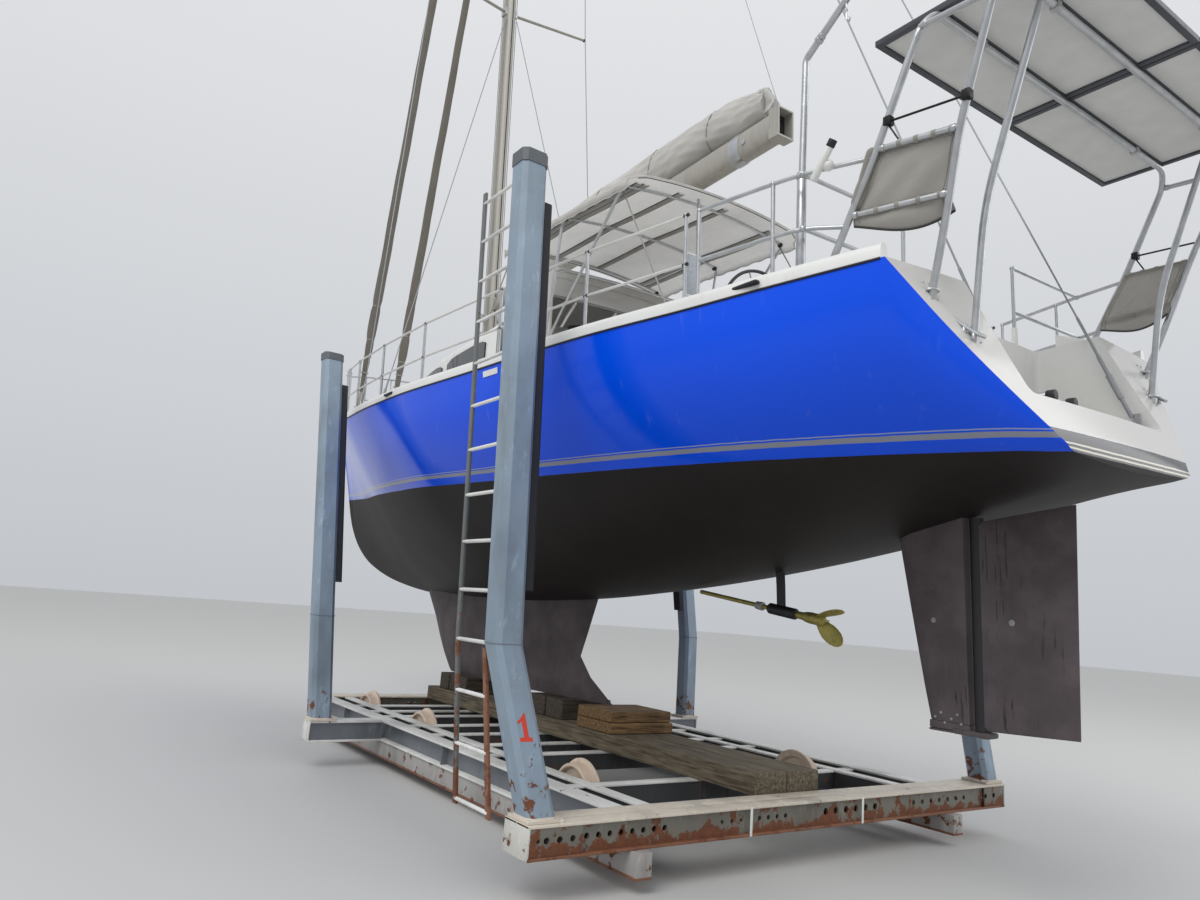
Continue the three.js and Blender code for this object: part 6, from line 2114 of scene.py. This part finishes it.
class YACHT_OT_helm(bpy.types.Operator):
    """Adds the steering wheel on its pedestal and the winches"""
    bl_idname = "yacht.helm"
    bl_label = "Helm and winches"

    def execute(self, context):
        bm = bmesh.new()
        hub = Vector((0.620, 0, 4.040))
        ring = [hub + Vector((0, 0.43 * cos(tau * k / 60), 0.43 * sin(tau * k / 60)))
            for k in range(61)]
        paint(tube(bm, ring, 0.0138, 12, capped=False), 1)
        for i in range(6):
            angle = pi * i / 3 + 0.2
            tube(bm, [hub, hub + Vector((0, 0.42 * cos(angle), 0.42 * sin(angle)))], 0.0078, 10)
        spun(bm, [(0, -0.020), (0.030, -0.018), (0.036, 0), (0.036, 0.03), (0.030, 0.06),
            (0, 0.06)], hub, (1, 0, 0), 24)
        rings = []
        for z, long, wide in ((3.1605, 0.080, 0.090), (3.20, 0.070, 0.080), (3.9, 0.062, 0.072),
                (4.0, 0.070, 0.085), (4.06, 0.078, 0.089)):
            rings.append(oval(0.750, 0, z, long, wide, 32, 0.6))
        paint(skin(bm, rings), 2)
        paint(spun(bm, [(0, 4.13 - 4.04), (0.030, 0.086), (0.058, 0.062), (0.066, 0.030),
            (0.066, 0.0)], (0.750, 0, 4.04), (0, 0, 1), 28), 3)
        for side in (-1, 1):
            tube(bm, [(0.800, side * 0.075, 3.17), (0.800, side * 0.075, 4.0),
                (0.815, side * 0.06, 4.115), (0.815, 0, 4.120)], 0.011, 10, bend=0.05)
        piece("helm", bm, "stainless dark gelcoat window", replaces="steering")
        base = coaming_top(2.02) + 0.001
        profile = [(0, 0), (0.092, 0), (0.095, 0.006), (0.092, 0.020), (0.078, 0.036),
            (0.066, 0.055), (0.061, 0.080), (0.060, 0.115), (0.066, 0.132), (0.078, 0.142),
            (0.080, 0.150), (0.062, 0.153), (0.062, 0.158), (0.080, 0.161), (0.080, 0.176),
            (0.072, 0.180), (0.030, 0.180), (0.028, 0.168), (0, 0.168)]
        for side, hand in SIDES:
            bm = bmesh.new()
            centre = Vector((2.02, side * 0.9, base))
            spun(bm, profile, centre, (0, 0, 1), 40)
            for k in range(20):
                turn = tau * k / 20
                out = Vector((cos(turn), sin(turn), 0))
                tube(bm, [centre + out * 0.0615 + up_by(0.062),
                    centre + out * 0.0608 + up_by(0.118)], 0.0022, 6)
            for k in range(6):
                turn = tau * k / 6
                bolt(bm, centre + Vector((0.082 * cos(turn), 0.082 * sin(turn), 0.021)),
                    (0, 0, 1), 0.006, 0.004)
            if side > 0:
                wraps = [centre + Vector((0.069 * cos(a), 0.069 * sin(a), 0.066 + 0.0019 * a))
                    for a in [tau * k / 24 for k in range(24 * 3)]]
                paint(tube(bm, wraps, 0.0055, 8), 1)
            piece(f"winch_drum_{hand}", bm, "black_metal rope", replaces=f"winch_{hand}")
        bm = bmesh.new()
        for side, _ in SIDES:
            for x in (0.9, 1.3, 2.6):
                z = coaming_top(x)
                y = side * 0.78
                block(bm, (x - 0.05, y - 0.02, z - 0.002), (x + 0.05, y + 0.02, z + 0.012), 0.004)
                drum(bm, (x, y - 0.012, z + 0.032), (x, y + 0.012, z + 0.032), 0.026, sides=20,
                    edge=0.003)
                for s in (-1, 1):
                    block(bm, (x - 0.012, y + s * 0.014 - 0.003, z + 0.008),
                        (x + 0.012, y + s * 0.014 + 0.003, z + 0.062), 0.002)
            for x in (3.9, 4.8):
                y = side * (edge_at(x)[0] - 0.36)
                z = deck_height(x, y)
                block(bm, (x - 0.4, y - 0.014, z - 0.006), (x + 0.4, y + 0.014, z + 0.014), 0.003)
            x = 1.25
            y = side * (edge_at(x)[0] - 0.20)
            at = Vector((x, y, deck_height(x, y)))
            drum(bm, at, at + up_by(0.02), 0.035, sides=18, edge=0.004)
            for s in (-1, 1):
                block(bm, at + Vector((-0.045, s * 0.022 - 0.004, 0.018)),
                    at + Vector((0.045, s * 0.022 + 0.004, 0.13)), 0.004)
            drum(bm, at + Vector((0, -0.018, 0.085)), at + Vector((0, 0.018, 0.085)), 0.042,
                sides=22, edge=0.004)
        piece("deck_blocks", bm, "black_metal")
        return {"FINISHED"}


class YACHT_OT_bow(bpy.types.Operator):
    """Adds the bow roller with the anchor, the windlass and a blank plate on the port side of the hull"""
    bl_idname = "yacht.bow"
    bl_label = "Bow gear"

    def execute(self, context):
        bm = bmesh.new()
        block(bm, (10.56, -0.052, 4.6405), (11.24, 0.052, 4.650), 0.003)
        for side in (-1, 1):
            outline = [(10.80, side * 0.052, 4.642), (11.27, side * 0.052, 4.602),
                (11.31, side * 0.052, 4.612), (11.318, side * 0.052, 4.645),
                (11.26, side * 0.052, 4.676), (11.05, side * 0.052, 4.676),
                (10.80, side * 0.052, 4.655)]
            plate(bm, outline, (0, -side * 0.006, 0), 0.002)
        paint(spun(bm, [(0, 0), (0.030, 0), (0.034, 0.006), (0.020, 0.03), (0.020, 0.058),
            (0.034, 0.084), (0.030, 0.090), (0, 0.090)], (11.262, -0.045, 4.640), (0, 1, 0), 24), 1)
        shank = [(10.72, 0, 4.668), (11.18, 0, 4.690), (11.262, 0, 4.682)]
        tube(bm, shank, 0.011, 10, bend=0.05)
        tube(bm, [(10.70, 0, 4.668), (10.55, 0, 4.664),
            (10.30, 0, deck_height(10.3, 0) + 0.10)], 0.006, 8)
        piece("bow_roller_anchor", bm, "stainless dark", replaces="bow_roller")
        bm = bmesh.new()
        z = deck_height(9.95, 0)
        skin(bm, [oval(9.95, 0, z + h, 0.13 * s, 0.09 * s, 28, 0.7) for h,
            s in ((-0.01, 1), (0.05, 0.98), (0.09, 0.85), (0.11, 0.5))])
        for side in (-1, 1):
            spun(bm, [(0, 0), (0.055, 0), (0.060, 0.006), (0.045, 0.03), (0.060, 0.054),
                (0.055, 0.060), (0, 0.060)], (9.95, side * 0.085, z + 0.065), (0, side, 0), 24)
        piece("windlass", bm, "stainless")
        bm = bmesh.new()

        def on_side(u, v):
            return hull_point(1.44 + 0.22 * u, 0.018 + 0.023 * v) + Vector((0, 0.003, 0))

        thicken(bm, surface(bm, 8, 4, on_side), 0.003)
        piece("blank_plate", bm, "white", bevel=0.0015)
        return {"FINISHED"}


# Stage

FLOOR_SIZE = 80
LIGHTS = (
    # name, place, what it points at, size, power
    ("key", (-10, 17, 20), (0, 0, 3), 14, 2600),
    ("fill", (-14, -12, 12), (0, 0, 4), 14, 900),
)
SKY_HEIGHTS = (-0.1, 0.9)
SKY_COLOURS = ((198, 202, 208), (250, 251, 253))
SKY_POWER = 0.9
# Place of the camera, its yaw, pitch and roll in degrees, and the width of its film in mm
VIEW_FROM = (START - 4.2313, 5.0095, 1.5976)
VIEW_ANGLES = (-34.675, 10.621, 4.378)
SENSOR = 36


class YACHT_OT_stage(bpy.types.Operator):
    """Adds the floor, the lights and the camera"""
    bl_idname = "yacht.stage"
    bl_label = "Stage"

    def execute(self, context):
        scene = context.scene
        bm = bmesh.new()
        bmesh.ops.create_grid(bm, x_segments=1, y_segments=1, size=FLOOR_SIZE)
        bmesh.ops.translate(bm, vec=(0, 0, -0.002), verts=bm.verts)
        mesh = bpy.data.meshes.new("floor")
        bm.to_mesh(mesh)
        bm.free()
        floor = bpy.data.objects.new("floor", mesh)
        scene.collection.objects.link(floor)
        look = Look("studio_floor")
        mesh.materials.append(look.done(srgb(196, 196, 194), 0.85))
        world = bpy.data.worlds.new("studio")
        world.use_nodes = True
        tree = world.node_tree
        background = tree.nodes["Background"]
        place = tree.nodes.new("ShaderNodeTexCoord")
        height = tree.nodes.new("ShaderNodeSeparateXYZ")
        share = tree.nodes.new("ShaderNodeMapRange")
        share.inputs["From Min"].default_value, share.inputs["From Max"].default_value = SKY_HEIGHTS
        sky = tree.nodes.new("ShaderNodeMix")
        sky.data_type = "RGBA"
        for number, colour in zip((6, 7), SKY_COLOURS):
            sky.inputs[number].default_value = (*srgb(*colour), 1)
        tree.links.new(place.outputs["Generated"], height.inputs[0])
        tree.links.new(height.outputs[2], share.inputs["Value"])
        tree.links.new(share.outputs["Result"], sky.inputs["Factor"])
        tree.links.new(sky.outputs[2], background.inputs["Color"])
        background.inputs["Strength"].default_value = SKY_POWER
        scene.world = world
        for name, place, aim, size, power in LIGHTS:
            light = bpy.data.lights.new(name, "AREA")
            light.size = size
            light.energy = power
            lamp = bpy.data.objects.new(name, light)
            lamp.location = place
            lamp.rotation_euler = (Vector(aim) - Vector(place)).to_track_quat("-Z", "Y").to_euler()
            scene.collection.objects.link(lamp)
        yaw, pitch, roll = (radians(angle) for angle in VIEW_ANGLES)
        ahead = Vector((cos(pitch) * cos(yaw), cos(pitch) * sin(yaw), sin(pitch)))
        right = ahead.cross(up_by(1)).normalized()
        up = right.cross(ahead)
        across = right * cos(roll) + up * sin(roll)
        over = up * cos(roll) - right * sin(roll)
        lens = bpy.data.cameras.new("view")
        lens.sensor_width = SENSOR
        lens.lens = SENSOR * 860 / 1200
        lens.clip_start, lens.clip_end = 0.05, 300
        camera = bpy.data.objects.new("view", lens)
        turn = Matrix((across, over, -ahead)).transposed().to_4x4()
        camera.matrix_world = Matrix.Translation(VIEW_FROM) @ turn
        scene.collection.objects.link(camera)
        scene.camera = camera
        scene.view_settings.view_transform = "Standard"
        return {"FINISHED"}


STEPS = (YACHT_OT_materials, YACHT_OT_hull, YACHT_OT_underwater, YACHT_OT_deck,
    YACHT_OT_rails, YACHT_OT_spars, YACHT_OT_sails, YACHT_OT_canvas, YACHT_OT_stern,
    YACHT_OT_helm, YACHT_OT_bow, YACHT_OT_beams, YACHT_OT_wheels, YACHT_OT_posts,
    YACHT_OT_timbers, YACHT_OT_stage)


class YACHT_PT_panel(bpy.types.Panel):
    """Lists the yacht's groups of pieces in the sidebar"""
    bl_idname = "YACHT_PT_panel"
    bl_label = "Yacht"
    bl_space_type = "VIEW_3D"
    bl_region_type = "UI"
    bl_category = "Yacht"

    def draw(self, context):
        for group in (context.scene.yacht_paint, context.scene.yacht_sizes):
            for name in group.__annotations__:
                self.layout.prop(group, name)
        for step in STEPS:
            self.layout.operator(step.bl_idname)


GROUPS = (YACHT_PG_paint, YACHT_PG_sizes)


def register():
    for kind in (*GROUPS, *STEPS, YACHT_PT_panel):
        bpy.utils.register_class(kind)
    bpy.types.Scene.yacht_paint = PointerProperty(type=YACHT_PG_paint)
    bpy.types.Scene.yacht_sizes = PointerProperty(type=YACHT_PG_sizes)


def unregister():
    del bpy.types.Scene.yacht_sizes
    del bpy.types.Scene.yacht_paint
    for kind in reversed((*GROUPS, *STEPS, YACHT_PT_panel)):
        bpy.utils.unregister_class(kind)


def main():
    register()
    for step in STEPS:
        group, name = step.bl_idname.split(".")
        getattr(getattr(bpy.ops, group), name)()


if __name__ == "__main__":
    main()
